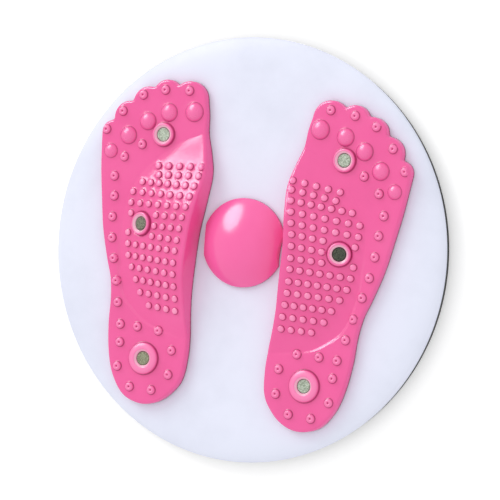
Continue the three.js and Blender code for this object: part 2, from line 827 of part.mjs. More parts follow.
function centreDome() {
  const under = plateTop + seatGap;
  const innerSkirt = domeSkirt / 2 + joinOver;
  const innerRadius = domeRadius - domeWall;
  const outer = domeCap(domeRadius, under, domeSkirt, domeTop, domeTrim);
  const hollow = domeCap(innerRadius, under - joinOver, innerSkirt, domeTop - domeWall, domeTrim - domeWall);
  const catchTop = plateUnder - seatGap;
  const legFoot = catchTop - barbHeight;
  const inside = domeLegs(domeLegWidth, domeLegThickness, under, domeTop).intersect(outer);
  const through = domeLegs(domeLegWidth, domeLegThickness, legFoot, under + joinOver);
  const hook = domeLegs(domeLegWidth, domeLegThickness, legFoot, catchTop, domeLegPlace + barbReach);
  return library.Manifold.union([outer.subtract(hollow), inside, through, hook]);
}

const disc = new THREE.Group();

const base = new THREE.Group();
base.add(piece("base_plate", basePlate(), blackPlastic));
base.add(piece("lower_race", lowerRace(), raceSteel));
base.add(piece("centre_bolt", centreBolt(), zincSteel));
const thrust = ring(boltRadius + boreGap, thrustWasherRadius, thrustUnder, thrustTop, smallSides);
base.add(piece("thrust_washer", thrust, zincSteel));
const topWasher = ring(boltRadius + boreGap, topWasherRadius, topWasherUnder, topWasherTop, smallSides);
base.add(piece("top_washer", topWasher, zincSteel));
base.add(piece("lock_nut", lockNut(), zincSteel));
for (let i = 0; i < rubberFootCount; i += 1) {
  base.add(piece(`rubber_foot_${i + 1}`, rubberFoot(i), blackRubber));
}

const cage = new THREE.Group();
cage.add(piece("ball_cage", ballCage(), naturalNylon));
for (let i = 0; i < ballCount; i += 1) {
  cage.add(piece(`ball_${String(i + 1).padStart(2, "0")}`, ball(i), ballSteel));
}

const turntable = new THREE.Group();
turntable.add(piece("top_plate", topPlate(), glossWhite));
turntable.add(piece("upper_race", upperRace(), raceSteel));
turntable.add(piece("hub_bush", hubBush(), naturalNylon));
turntable.add(piece("centre_dome", centreDome(), domePink));
turntable.add(foot("right", 1), foot("left", -1));

disc.add(base, cage, turntable);

export default disc;
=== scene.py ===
# %% [markdown]
# # A waist twisting disc
# A white plate with two pink massage pads for the feet turns on a black base, on a ring of steel balls.
# The CAD model comes in first as a fixed frame. Its hidden bearing parts only get a finish, and the parts
# that the eye meets are modelled again, finer, in the places that the frame gives.

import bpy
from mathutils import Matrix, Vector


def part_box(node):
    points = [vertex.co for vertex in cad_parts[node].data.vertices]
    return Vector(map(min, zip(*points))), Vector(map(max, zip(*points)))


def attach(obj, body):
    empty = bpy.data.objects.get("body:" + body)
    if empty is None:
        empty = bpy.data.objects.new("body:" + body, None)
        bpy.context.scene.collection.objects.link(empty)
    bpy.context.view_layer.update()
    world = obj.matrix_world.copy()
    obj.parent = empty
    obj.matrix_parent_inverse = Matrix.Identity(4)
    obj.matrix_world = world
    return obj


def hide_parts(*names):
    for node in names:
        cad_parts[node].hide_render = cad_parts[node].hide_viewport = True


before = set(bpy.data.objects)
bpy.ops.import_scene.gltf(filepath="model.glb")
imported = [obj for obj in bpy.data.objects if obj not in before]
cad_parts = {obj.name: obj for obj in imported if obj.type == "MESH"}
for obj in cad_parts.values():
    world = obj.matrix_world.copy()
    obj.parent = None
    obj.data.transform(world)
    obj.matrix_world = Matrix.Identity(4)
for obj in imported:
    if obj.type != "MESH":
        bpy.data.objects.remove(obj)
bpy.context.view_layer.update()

# %% [markdown]
# Everything below is drawn in millimetres, as on a workshop drawing, and made metres only when a mesh is
# finished. The plate's upper face is the level that most sizes start from. The frame gives it: the highest
# point of the plate is its hub, which stands 1.5 mm above that face.

# %% Units and the main levels
import math

import bmesh
import bpy
from mathutils import Matrix, Vector
from mathutils.geometry import delaunay_2d_cdt, interpolate_bezier
from mathutils.kdtree import KDTree

mm = 0.001
full_turn = 2 * math.pi
up = Vector((0, 0, 1))
hub_rise = 1.5


def node_box(name):
    """A CAD node's lowest and highest corners, in millimetres."""
    low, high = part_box(name)
    return low / mm, high / mm


plate_top = node_box("top_plate")[1].z - hub_rise
disc_radius = node_box("top_plate")[1].x
print(f"plate face at {plate_top:.1f} mm, disc radius {disc_radius:.1f} mm")

# %% [markdown]
# ## Camera
# The photograph looks steeply down from the side of the right foot, with the toes at the top of the picture.
# The angles were found by matching the two mirrored pads and the round rim. A long lens from 2.2 m keeps
# the rim an almost true ellipse.

# %% Camera
camera_turn, camera_height, camera_roll = (math.radians(angle) for angle in (96.8, 65.5, -88.5))
camera_distance = 2.23
pixels_per_mm = 1.523
picture_side = 500
off_centre = (-6.4, 0.3)

back = Vector((
    math.sin(camera_turn) * math.cos(camera_height),
    -math.cos(camera_turn) * math.cos(camera_height),
    math.sin(camera_height),
))
level = Vector((math.cos(camera_turn), math.sin(camera_turn), 0))
steep = back.cross(level)
across = level * math.cos(camera_roll) + steep * math.sin(camera_roll)
above = steep * math.cos(camera_roll) - level * math.sin(camera_roll)

lens = bpy.data.cameras.new("camera")
camera = bpy.data.objects.new("camera", lens)
bpy.context.scene.collection.objects.link(camera)
aim = Matrix.Translation(back * camera_distance + up * plate_top * mm)
camera.matrix_world = aim @ Matrix((across, above, back)).transposed().to_4x4()
lens.lens = lens.sensor_width * pixels_per_mm * camera_distance / mm / picture_side
lens.shift_x, lens.shift_y = (-offset / picture_side for offset in off_centre)
bpy.context.scene.camera = camera
print(f"lens {lens.lens:.0f} mm at {camera_distance} m")

# %% [markdown]
# ## Light
# The oval highlight on the dome and the pale patch on the left pad's rising arch both mirror one large soft
# box, behind the toes on the left. What it mirrors is far brighter than the gentle shading that comes with
# it, as a grey filter on a camera would show it. So one lamp is the box as surfaces mirror it, and a softer
# lamp in its middle gives the shading. The rest is the even white of a light tent.

# %% Soft box and light tent
box_middle = Vector((-0.643, 0.565, 0.517)).normalized()
box_length = Vector((-0.039, -0.587, 0.592)).normalized()
box_distance = 6


def soft_box(name, length, width, power):
    """An oval soft box that faces the disc, with its length along its own slanting line."""
    light = bpy.data.lights.new(name, "AREA")
    light.shape = "ELLIPSE"
    light.size, light.size_y = length, width
    light.energy = power
    lamp = bpy.data.objects.new(name, light)
    bpy.context.scene.collection.objects.link(lamp)
    side = box_middle.cross(box_length).normalized()
    turn = Matrix((side.cross(box_middle), side, box_middle)).transposed()
    lamp.matrix_world = Matrix.Translation(box_middle * box_distance) @ turn.to_4x4()
    print(f"{name}: {length} by {width} m, {power} W")
    return lamp


mirrored_box = soft_box("mirrored_box", 5.2, 3.4, 400)
mirrored_box.visible_diffuse = False
shading_box = soft_box("shading_box", 3, 3, 85)
shading_box.visible_glossy = False
bpy.context.scene.view_settings.view_transform = "Standard"


def linear(code):
    """An sRGB hex code as the linear colour that shaders work in."""
    values = [int(code[i:i + 2], 16) / 255 for i in (1, 3, 5)]
    return [v / 12.92 if v <= 0.04045 else ((v + 0.055) / 1.055) ** 2.4 for v in values] + [1]


def add(tree, kind, fields, inputs):
    """Adds a shader node, with its own fields, and with values or other nodes' outputs on its inputs."""
    node = tree.nodes.new("ShaderNode" + kind)
    for name, value in fields.items():
        setattr(node, name, value)
    for name, value in inputs.items():
        if isinstance(value, bpy.types.NodeSocket):
            tree.links.new(value, node.inputs[name])
        else:
            node.inputs[name].default_value = value
    return node


def seen_directly(tree):
    """1 for what the camera sees straight, in a mirror or through glass, and 0 for light."""
    path = add(tree, "LightPath", {}, {})
    mirrored = add(tree, "Math", {"operation": "MAXIMUM"}, {
        0: path.outputs["Is Camera Ray"], 1: path.outputs["Is Glossy Ray"],
    })
    return add(tree, "Math", {"operation": "MAXIMUM"}, {
        0: mirrored.outputs[0], 1: path.outputs["Is Transmission Ray"],
    }).outputs[0]


tent = bpy.data.worlds.new("light_tent")
bpy.context.scene.world = tent
tent.use_nodes = True
tent_strength = 0.91
sky = tent.node_tree.nodes["Background"]
strength = add(tent.node_tree, "MapRange", {}, {
    "Value": seen_directly(tent.node_tree), "To Min": tent_strength, "To Max": 1,
})
tent.node_tree.links.new(strength.outputs["Result"], sky.inputs["Strength"])
sky.inputs["Color"].default_value = linear("#ffffff")
print(f"tent {tent_strength}")

# %% [markdown]
# The floor is a plain sheet of white paper. It is matt and real enough to take the disc's shadow, and it
# gives off a little light of its own, for the camera alone, so that the paper reads as white.

# %% Floor
floor_half = 3
sheet = bmesh.new()
bmesh.ops.create_grid(sheet, x_segments=1, y_segments=1, size=floor_half)
floor_mesh = bpy.data.meshes.new("floor")
sheet.to_mesh(floor_mesh)
sheet.free()
floor = bpy.data.objects.new("floor", floor_mesh)
bpy.context.scene.collection.objects.link(floor)
paper = bpy.data.materials.new("matt_white_paper")
paper.use_nodes = True
paper_shader = paper.node_tree.nodes["Principled BSDF"]
paper_shader.inputs["Base Color"].default_value = linear("#f2f2f2")
paper_shader.inputs["Roughness"].default_value = 0.9
paper_shader.inputs["Specular IOR Level"].default_value = 0.1
paper_shader.inputs["Emission Color"].default_value = linear("#ffffff")
lift = add(paper.node_tree, "MapRange", {}, {
    "Value": add(paper.node_tree, "LightPath", {}, {}).outputs["Is Camera Ray"], "To Max": 0.3,
})
paper.node_tree.links.new(lift.outputs["Result"], paper_shader.inputs["Emission Strength"])
floor_mesh.materials.append(paper)
print(f"floor {2 * floor_half} m wide")

# %% [markdown]
# ## Finishes
# Each finish starts from what the real one is. Patterns read Object coordinates, which are metres from the
# disc's axis, so a noise of scale 1000 has features about a millimetre wide.


# %% A material to start from
def finish(name, colour, roughness, metallic=0, ior=1.5):
    """A material with its plain values set, and its tree, shader and coordinates to build on."""
    material = bpy.data.materials.new(name)
    material.use_nodes = True
    shader = material.node_tree.nodes["Principled BSDF"]
    shader.inputs["Base Color"].default_value = linear(colour)
    shader.inputs["Roughness"].default_value = roughness
    shader.inputs["Metallic"].default_value = metallic
    shader.inputs["IOR"].default_value = ior
    place = add(material.node_tree, "TexCoord", {}, {}).outputs["Object"]
    return material, material.node_tree, shader, place


def grain_scale(size):
    """The noise scale that gives features of a size in millimetres."""
    return 1 / (size * mm)


print(f"a grain of 1 mm has noise scale {grain_scale(1):.0f}")

# %% [markdown]
# ### Moulded ABS, cool white
# The plate is injection-moulded ABS with a satin skin, very slightly blue. Its fine grain shades itself, so
# it mirrors far less than smooth plastic. Moulding leaves long, shallow waves in it, and handling leaves
# faint greyish smudges.

# %% Satin white ABS
white_abs, tree, shader, place = finish("moulded_abs_cool_white", "#e6e9f7", 0.5, ior=1.54)
shader.inputs["Specular IOR Level"].default_value = 0.2
smudge = add(tree, "TexNoise", {}, {"Vector": place, "Scale": grain_scale(45), "Detail": 4, "Roughness": 0.6})
tone = add(tree, "ValToRGB", {}, {"Fac": smudge.outputs["Fac"]})
tone.color_ramp.elements[0].position = 0.3
tone.color_ramp.elements[0].color = linear("#e1e4f4")
tone.color_ramp.elements[1].position = 0.6
tone.color_ramp.elements[1].color = linear("#e8ebfb")
tree.links.new(tone.outputs["Color"], shader.inputs["Base Color"])
rub = add(tree, "TexNoise", {}, {"Vector": place, "Scale": grain_scale(9), "Detail": 6, "Roughness": 0.7})
dulling = add(tree, "MapRange", {}, {"Value": rub.outputs["Fac"], "From Min": 0.4, "From Max": 0.7,
                                     "To Min": 0.45, "To Max": 0.58})
tree.links.new(dulling.outputs["Result"], shader.inputs["Roughness"])
wave = add(tree, "TexNoise", {}, {"Vector": place, "Scale": grain_scale(60), "Detail": 1})
waviness = add(tree, "Bump", {}, {"Height": wave.outputs["Fac"], "Distance": 0.15 * mm, "Strength": 0.5})
tree.links.new(waviness.outputs["Normal"], shader.inputs["Normal"])
print("white ABS: smudges 45 mm, rubbed patches 9 mm, mould waves 60 mm")

# %% [markdown]
# ### Soft elastomer, pink
# The pads are moulded from a soft thermoplastic rubber with a glossy skin and a fine orange peel. Light and
# shade are painted into their pink: raised tops are painted paler, a painted highlight, and are made a
# little duller, and the foot of a stud is painted a deeper pink, as painted shade. The mesh gives each
# place its tone: 1 on a top, 0 on the ground, below 0 in a crease, and 1.2 on the collars' cones and bores,
# where it paints a pale reflection.

# %% Pink elastomer
pink_rubber, tree, shader, place = finish("moulded_soft_elastomer_pink", "#f25fa1", 0.16, ior=1.53)
cloud = add(tree, "TexNoise", {}, {"Vector": place, "Scale": grain_scale(30), "Detail": 3})
tone = add(tree, "Attribute", {"attribute_name": "tone"}, {}).outputs["Fac"]
drift = add(tree, "MapRange", {}, {"Value": cloud.outputs["Fac"], "To Min": 0.33, "To Max": 0.47})
shade = add(tree, "Math", {"operation": "MULTIPLY_ADD"}, {0: tone, 1: 0.4, 2: drift.outputs["Result"]})
# The tone moves the pink along this ramp: its dark stop is painted shade, its pale stops are painted
# highlight.
pinks = add(tree, "ValToRGB", {}, {"Fac": shade.outputs[0]})
pinks.color_ramp.elements[0].color = linear("#9c2257")
pinks.color_ramp.elements[1].color = linear("#f3dfe2")
pinks.color_ramp.elements.new(0.4).color = linear("#f35ba0")
pinks.color_ramp.elements.new(0.8).color = linear("#fc86ba")
tree.links.new(pinks.outputs["Color"], shader.inputs["Base Color"])
peel = add(tree, "TexNoise", {}, {"Vector": place, "Scale": grain_scale(1.2), "Detail": 2})
dulling = add(tree, "MapRange", {}, {"Value": peel.outputs["Fac"], "To Min": 0.12, "To Max": 0.22})
strength = add(tree, "Math", {"operation": "ABSOLUTE"}, {0: tone})
grained = add(tree, "MapRange", {}, {"Value": strength.outputs[0], "From Max": 0.4, "To Max": 0.16})
dull = add(tree, "Math", {}, {0: dulling.outputs["Result"], 1: grained.outputs["Result"]})
tree.links.new(dull.outputs[0], shader.inputs["Roughness"])
skin = add(tree, "Bump", {}, {"Height": peel.outputs["Fac"], "Distance": 0.03 * mm, "Strength": 0.3})
tree.links.new(skin.outputs["Normal"], shader.inputs["Normal"])
print("pink elastomer: orange peel 1.2 mm")

# %% [markdown]
# ### Moulded ABS, pink
# The dome is a hard, glossier moulding in the pads' colour. Fine hairline scuffs break its highlight, and the
# last millimetre at its foot is painted as a deep pink line, painted shade where it meets the plate.

# %% Pink ABS
pink_abs, tree, shader, place = finish("moulded_abs_pink", "#f2559b", 0.2, ior=1.54)
cloud = add(tree, "TexNoise", {}, {"Vector": place, "Scale": grain_scale(20), "Detail": 3})
tone = add(tree, "ValToRGB", {}, {"Fac": cloud.outputs["Fac"]})
tone.color_ramp.elements[0].color = linear("#f75ea3")
tone.color_ramp.elements[1].color = linear("#fb6bae")
# Painted shade: the dome's colour darkens to a deep pink over the lowest millimetres above the plate.
height = add(tree, "SeparateXYZ", {}, {"Vector": place}).outputs["Z"]
foot = {"From Min": (plate_top + 1.6) * mm, "From Max": (plate_top + 0.4) * mm, "To Max": 0.8}
foot_shade = add(tree, "MapRange", {}, {"Value": height, **foot}).outputs["Result"]
foot_shade_mix = add(tree, "Mix", {"data_type": "RGBA"}, {"Factor": foot_shade})
tree.links.new(tone.outputs["Color"], foot_shade_mix.inputs["A"])
foot_shade_mix.inputs["B"].default_value = linear("#7d1a45")
tree.links.new(foot_shade_mix.outputs["Result"], shader.inputs["Base Color"])
scuff = add(tree, "TexNoise", {}, {"Vector": place, "Scale": grain_scale(2), "Detail": 8, "Roughness": 0.75})
dulling = add(tree, "MapRange", {}, {"Value": scuff.outputs["Fac"], "To Min": 0.12, "To Max": 0.3})
tree.links.new(dulling.outputs["Result"], shader.inputs["Roughness"])
print("pink ABS: scuffs 2 mm")

# %% [markdown]
# ### Moulded ABS, black
# The base comes from a spark-eroded tool, which leaves a matt grain of about 0.6 mm that scatters light.

# %% Black ABS
black_abs, tree, shader, place = finish("moulded_abs_black", "#1b1c1e", 0.55, ior=1.54)
erosion = add(tree, "TexNoise", {}, {"Vector": place, "Scale": grain_scale(0.6), "Detail": 3,
                                     "Roughness": 0.6})
tone = add(tree, "ValToRGB", {}, {"Fac": erosion.outputs["Fac"]})
tone.color_ramp.elements[0].color = linear("#17181a")
tone.color_ramp.elements[1].color = linear("#222326")
tree.links.new(tone.outputs["Color"], shader.inputs["Base Color"])
dulling = add(tree, "MapRange", {}, {"Value": erosion.outputs["Fac"], "To Min": 0.48, "To Max": 0.68})
tree.links.new(dulling.outputs["Result"], shader.inputs["Roughness"])
grain = add(tree, "Bump", {}, {"Height": erosion.outputs["Fac"], "Distance": 0.06 * mm, "Strength": 0.6})
tree.links.new(grain.outputs["Normal"], shader.inputs["Normal"])
print("black ABS: tool grain 0.6 mm")

# %% [markdown]
# ### Vulcanised rubber, black
# The feet are pressed rubber: deep matt black-grey, with a greyish bloom in patches.

# %% Black rubber
black_rubber, tree, shader, place = finish("vulcanised_rubber_black", "#232323", 0.85, ior=1.52)
bloom = add(tree, "TexNoise", {}, {"Vector": place, "Scale": grain_scale(4), "Detail": 5, "Roughness": 0.65})
tone = add(tree, "ValToRGB", {}, {"Fac": bloom.outputs["Fac"]})
tone.color_ramp.elements[0].color = linear("#1d1d1d")
tone.color_ramp.elements[1].color = linear("#30302f")
tree.links.new(tone.outputs["Color"], shader.inputs["Base Color"])
grit = add(tree, "TexNoise", {}, {"Vector": place, "Scale": grain_scale(0.4), "Detail": 2})
grain = add(tree, "Bump", {}, {"Height": grit.outputs["Fac"], "Distance": 0.05 * mm, "Strength": 0.7})
tree.links.new(grain.outputs["Normal"], shader.inputs["Normal"])
print("black rubber: bloom 4 mm, grit 0.4 mm")

# %% [markdown]
# ### The magnets
# Small pressed discs of sintered powder. Their grain of about 0.7 mm makes pale green-grey specks. Those in
# the arches are darker, almost black, on the right foot.


# %% Sintered magnet
def sintered(name, dark, pale, roughness):
    """Pressed and sintered metal powder, from its dark and pale grains."""
    material, tree, shader, place = finish(name, pale, roughness, metallic=0.35)
    powder = add(tree, "TexNoise", {}, {"Vector": place, "Scale": grain_scale(0.7), "Detail": 3,
                                        "Roughness": 0.7})
    tone = add(tree, "ValToRGB", {}, {"Fac": powder.outputs["Fac"]})
    tone.color_ramp.elements[0].position = 0.38
    tone.color_ramp.elements[0].color = linear(dark)
    tone.color_ramp.elements[1].position = 0.62
    tone.color_ramp.elements[1].color = linear(pale)
    tree.links.new(tone.outputs["Color"], shader.inputs["Base Color"])
    grain = add(tree, "Bump", {}, {"Height": powder.outputs["Fac"], "Distance": 0.08 * mm, "Strength": 0.6})
    tree.links.new(grain.outputs["Normal"], shader.inputs["Normal"])
    return material


pale_magnet = sintered("sintered_magnet_pale", "#76836f", "#c3cdbd", 0.45)
grey_magnet = sintered("sintered_magnet_grey", "#5f5d47", "#a3a98c", 0.45)
dark_magnet = sintered("sintered_magnet_dark", "#1c211c", "#59604f", 0.4)
dull_magnet = sintered("sintered_magnet_dull", "#3f4136", "#8b8d78", 0.4)
print("magnets: powder grain 0.7 mm")

# %% [markdown]
# ### The bearing's metals and its cage
# Nothing of the bearing shows from outside, but each part still has its own finish: rolled and pressed
# strip with an oily sheen for the races, polished balls, bright zinc on the bolt, nut and washers, and
# natural nylon, which looks like candle wax, for the cage and the bush.

# %% Race steel, ball steel, zinc and nylon
race_steel, tree, shader, place = finish("pressed_steel_strip_oiled", "#b9bcbf", 0.32, metallic=1)
rolled = add(tree, "TexNoise", {}, {"Vector": place, "Scale": grain_scale(3), "Detail": 6, "Roughness": 0.7})
dulling = add(tree, "MapRange", {}, {"Value": rolled.outputs["Fac"], "To Min": 0.22, "To Max": 0.45})
tree.links.new(dulling.outputs["Result"], shader.inputs["Roughness"])

ball_steel, tree, shader, place = finish("polished_chrome_steel", "#d3d5d8", 0.08, metallic=1)
lapping = add(tree, "TexNoise", {}, {"Vector": place, "Scale": grain_scale(0.8), "Detail": 3})
dulling = add(tree, "MapRange", {}, {"Value": lapping.outputs["Fac"], "To Min": 0.05, "To Max": 0.14})
tree.links.new(dulling.outputs["Result"], shader.inputs["Roughness"])

zinc_steel, tree, shader, place = finish("bright_zinc_plated_steel", "#c5c8cc", 0.3, metallic=1)
spangle = add(tree, "TexNoise", {}, {"Vector": place, "Scale": grain_scale(1.5), "Detail": 4})
tone = add(tree, "ValToRGB", {}, {"Fac": spangle.outputs["Fac"]})
tone.color_ramp.elements[0].color = linear("#b7bbc1")
tone.color_ramp.elements[1].color = linear("#d2d5d8")
tree.links.new(tone.outputs["Color"], shader.inputs["Base Color"])

nylon, tree, shader, place = finish("natural_nylon", "#e6e1d3", 0.5, ior=1.53)
wax = add(tree, "TexNoise", {}, {"Vector": place, "Scale": grain_scale(6), "Detail": 2})
tone = add(tree, "ValToRGB", {}, {"Fac": wax.outputs["Fac"]})
tone.color_ramp.elements[0].color = linear("#ded8c6")
tone.color_ramp.elements[1].color = linear("#ece7db")
tree.links.new(tone.outputs["Color"], shader.inputs["Base Color"])

inner_finishes = {
    race_steel: ["lower_race", "upper_race"],
    zinc_steel: ["centre_bolt", "thrust_washer", "top_washer", "lock_nut"],
    nylon: ["ball_cage", "hub_bush"],
    ball_steel: [f"ball_{number:02d}" for number in range(1, 13)],
}
for material, names in inner_finishes.items():
    for name in names:
        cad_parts[name].material_slots[0].material = material
print("bearing parts finished:", sum(len(names) for names in inner_finishes.values()))

# %% [markdown]
# ## From a drawing in millimetres to a piece
# A bmesh is drawn in millimetres in the object's own frame. When it is done, it is scaled to metres, its
# faces are shaded smooth and its true edges, past a certain angle, are kept sharp. Then the piece takes the
# place of its CAD node and rides on that node's body.


# %% Finished pieces
def finished(form, name, material, body, nodes, sharp=30):
    """Makes a piece of a bmesh drawn in millimetres, to stand for its CAD nodes."""
    bmesh.ops.scale(form, vec=Vector((mm, mm, mm)), verts=form.verts)
    for face in form.faces:
        face.smooth = True
    for edge in form.edges:
        edge.smooth = len(edge.link_faces) == 2 and edge.calc_face_angle() < math.radians(sharp)
    mesh = bpy.data.meshes.new(name)
    form.to_mesh(mesh)
    form.free()
    mesh.materials.append(material)
    piece = bpy.data.objects.new(name, mesh)
    bpy.context.scene.collection.objects.link(piece)
    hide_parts(*nodes)
    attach(piece, body)
    triangles = sum(len(polygon.vertices) - 2 for polygon in mesh.polygons)
    print(f"{name}: {triangles} triangles")


merge_reach = 0.001


def spun(profile, steps):
    """A closed profile of (radius, height) points turned once round the axis."""
    form = bmesh.new()
    corners = [form.verts.new((radius, 0, height)) for radius, height in profile]
    lines = [form.edges.new(pair) for pair in zip(corners, corners[1:] + corners[:1])]
    bmesh.ops.spin(form, geom=corners + lines, cent=(0, 0, 0), axis=up, dvec=(0, 0, 0), angle=full_turn,
                   steps=steps, use_merge=True)
    bmesh.ops.remove_doubles(form, verts=form.verts, dist=merge_reach)
    bmesh.ops.dissolve_degenerate(form, edges=form.edges, dist=merge_reach / 10)
    bmesh.ops.recalc_face_normals(form, faces=form.faces)
    return form


def bow(centre, reach, rise, steps):
    """A quarter of an ellipse, from its side to its top, as (radius, height) points."""
    turns = [math.pi / 2 * i / steps for i in range(steps + 1)]
    return [(centre[0] + reach * math.cos(turn), centre[1] + rise * math.sin(turn)) for turn in turns]


def moved(form, offset, turn=0):
    """The same bmesh after a move and a turn round the axis."""
    bmesh.ops.translate(form, vec=Vector(offset), verts=form.verts)
    bmesh.ops.rotate(form, cent=(0, 0, 0), matrix=Matrix.Rotation(turn, 3, "Z"), verts=form.verts)
    return form


def brick(size, centre, turn=0):
    """A block of that size, moved out to its centre and then turned round the axis."""
    form = bmesh.new()
    bmesh.ops.create_cube(form, size=1)
    bmesh.ops.scale(form, vec=Vector(size), verts=form.verts)
    return moved(form, centre, turn)


def combined(form, others, operation):
    """Joins other forms to this one, or cuts them from it, by a Boolean modifier that is then applied."""
    tools = bmesh.new()
    for other in others:
        part = bpy.data.meshes.new("part")
        other.to_mesh(part)
        other.free()
        tools.from_mesh(part)
        bpy.data.meshes.remove(part)
    pair = []
    for shape in (form, tools):
        mesh = bpy.data.meshes.new("work")
        shape.to_mesh(mesh)
        shape.free()
        pair.append(bpy.data.objects.new("work", mesh))
        bpy.context.scene.collection.objects.link(pair[-1])
    boolean = pair[0].modifiers.new("join", "BOOLEAN")
    boolean.operation = operation
    boolean.object = pair[1]
    boolean.solver = "EXACT"
    boolean.use_self = True
    result = bmesh.new()
    result.from_object(pair[0], bpy.context.evaluated_depsgraph_get())
    for work in pair:
        mesh = work.data
        bpy.data.objects.remove(work)
        bpy.data.meshes.remove(mesh)
    bmesh.ops.remove_doubles(result, verts=result.verts, dist=merge_reach)
    return result


print("helpers ready: spun, bow, moved, brick, combined")

# %% [markdown]
# ## The white plate
# The plate is a shallow dish turned upside down: a flat face, a shoulder that falls away as a quarter of an
# ellipse, and a short upright skirt. It was a round tool, so its section is drawn once and spun. Two low
# walls inside keep the upper race in place, and a hub holds the bush.

# %% Plate
wall = 2.6
shoulder_width, shoulder_drop, skirt_drop = 22, 6, 2.5
flat_radius = disc_radius - shoulder_width
plate_under = plate_top - wall
skirt_top = plate_top - shoulder_drop
skirt_bottom = skirt_top - skirt_drop
hub_radius, hub_bore, hub_under = 11, 6.4, 12.8
edge_break = 0.5
race_radius, race_reach, keep_wall, keep_height = 60, 5.8, 1.8, 1.5
plate_steps, outside_steps, inside_steps = 192, 20, 8


def keepers(face, side):
    """The two low walls that hold a race, as one line of points along the face that they stand on."""
    line = []
    for low, high in ((-race_reach - keep_wall, -race_reach), (race_reach, race_reach + keep_wall)):
        tip = face + side * keep_height
        line += [(race_radius + low, face), (race_radius + low, tip),
                 (race_radius + high, tip), (race_radius + high, face)]
    return line


outside = bow((flat_radius, skirt_top), shoulder_width, shoulder_drop, outside_steps)
inside = bow((flat_radius, skirt_top), shoulder_width - wall, shoulder_drop - wall, inside_steps)
profile = [(hub_bore, plate_top + hub_rise), (hub_bore, hub_under), (hub_radius, hub_under),
           (hub_radius, plate_under)]
profile += keepers(plate_under, -1) + inside[::-1]
profile += [(disc_radius - wall, skirt_bottom), (disc_radius - edge_break, skirt_bottom),
            (disc_radius, skirt_bottom + edge_break)]
profile += outside + [(hub_radius, plate_top), (hub_radius, plate_top + hub_rise)]
plate = spun(profile, plate_steps)
print(f"plate: flat to radius {flat_radius:.0f}, skirt from {skirt_bottom:.1f} to {skirt_top:.1f}")

# %% [markdown]
# Six ribs stiffen the middle. The pads and the dome snap into holes, which nobody sees, but the pegs need
# their room, so a Boolean modifier joins the ribs and cuts the holes. It keeps the spun faces elsewhere.
# A peg's hole is wider below, to clear the barb, and the wide part ends a tenth of a millimetre inside the
# plate. If it ended exactly on the plate's underside, the modifier could choose either face there, and the
# mesh would differ from run to run.

# %% Ribs and holes of the plate
pad_inner, pad_heel, pad_width, pad_length = 28.9, -111.5, 83, 216.5


def pad_point(shares):
    """A place on the right pad, from its shares of the width and of the length."""
    return Vector((pad_inner + shares[0] * pad_width, pad_heel + shares[1] * pad_length))


peg_shares = [(0.206, 0.866), (0.735, 0.848), (0.844, 0.584), (0.639, 0.307), (0.254, 0.081), (0.17, 0.552)]
peg_radius, barb_reach, barb_height, gap = 3, 0.9, 2.4, 0.3
leg_count, leg_place, leg_width, leg_thickness = 3, 23, 6, 2
leg_turns = [full_turn * (i / leg_count + 0.25) for i in range(leg_count)]
dome_forward = 4.6
rib_count, rib_width, rib_depth = 6, 1.8, 2.2
rib_start, rib_end = 8, race_radius - race_reach - keep_wall / 2
over, sunk, spot_face = 1, 0.4, 0.1
peg_steps = 24

rib_size = (rib_end - rib_start, rib_width, rib_depth + sunk)
rib_middle = ((rib_start + rib_end) / 2, 0, plate_under - rib_depth / 2 + sunk / 2)
ribs = [brick(rib_size, rib_middle, full_turn * i / rib_count) for i in range(rib_count)]
plate = combined(plate, ribs, "UNION")
holes = []
for side in (1, -1):
    for shares in peg_shares:
        spot = pad_point(shares)
        narrow, wide = peg_radius + gap, peg_radius + barb_reach + gap
        ledge = plate_under + spot_face
        hole = [(0, skirt_bottom), (wide, skirt_bottom), (wide, ledge), (narrow, ledge),
                (narrow, plate_top + over), (0, plate_top + over)]
        holes.append(moved(spun(hole, peg_steps), (side * spot.x, spot.y, 0)))
slot_size = (leg_thickness + 2 * gap, leg_width + 2 * gap, wall + 2 * over)
for turn in leg_turns:
    slot = brick(slot_size, (leg_place, 0, plate_under + wall / 2), turn)
    holes.append(moved(slot, (0, dome_forward, 0)))
plate = combined(plate, holes, "DIFFERENCE")
finished(plate, "white_plate", white_abs, "turntable", ["top_plate"])

# %% [markdown]
# ## The black base
# A shallow tray with its own two keepers, a lip that stands inside the plate's skirt, twelve ribs under its
# floor, a boss with a hexagon pocket for the bolt's head, and sockets for six rubber feet.

# %% Base
base_under, base_rib_depth, base_floor = 2.5, 1.8, 2.4
floor_under = base_under + base_rib_depth
floor_top = floor_under + base_floor
base_inset, spin_gap, rim_wall = 1.4, 0.8, 3
base_radius = disc_radius - base_inset
rim_top = skirt_bottom - spin_gap
rim_inner = base_radius - rim_wall
lip_gap, lip_wall, lip_height = 1.2, 2, 2
lip_outer = disc_radius - wall - lip_gap
lip_inner, lip_top = lip_outer - lip_wall, rim_top + lip_height
chamfer, rim_soft, edge_soft = 1.2, 0.4, 0.3
boss_radius, boss_top, pocket_roof = 13, 9.7, 7.3
bolt_hole, hexagon_across, hexagon_sides = 4.3, 13.6, 6

profile = [(bolt_hole, pocket_roof), (bolt_hole, base_under), (boss_radius, base_under)]
profile += [(boss_radius, floor_under), (rim_inner, floor_under)]
profile += [(rim_inner, base_under + edge_soft), (rim_inner + edge_soft, base_under)]
profile += [(base_radius - chamfer, base_under), (base_radius - chamfer / 3, base_under + chamfer / 3)]
profile += [(base_radius, base_under + chamfer), (base_radius, rim_top - rim_soft)]
profile += [(base_radius - rim_soft, rim_top), (lip_outer, rim_top)]
profile += [(lip_outer, lip_top - edge_soft), (lip_outer - edge_soft, lip_top)]
profile += [(lip_inner + edge_soft, lip_top), (lip_inner, lip_top - edge_soft), (lip_inner, floor_top)]
profile += keepers(floor_top, 1)[::-1]
profile += [(boss_radius, floor_top), (boss_radius, boss_top), (bolt_hole, boss_top)]
tray = spun(profile, plate_steps)
print(f"base: radius {base_radius:.1f} mm, rim up to {rim_top:.1f}, lip up to {lip_top:.1f}")

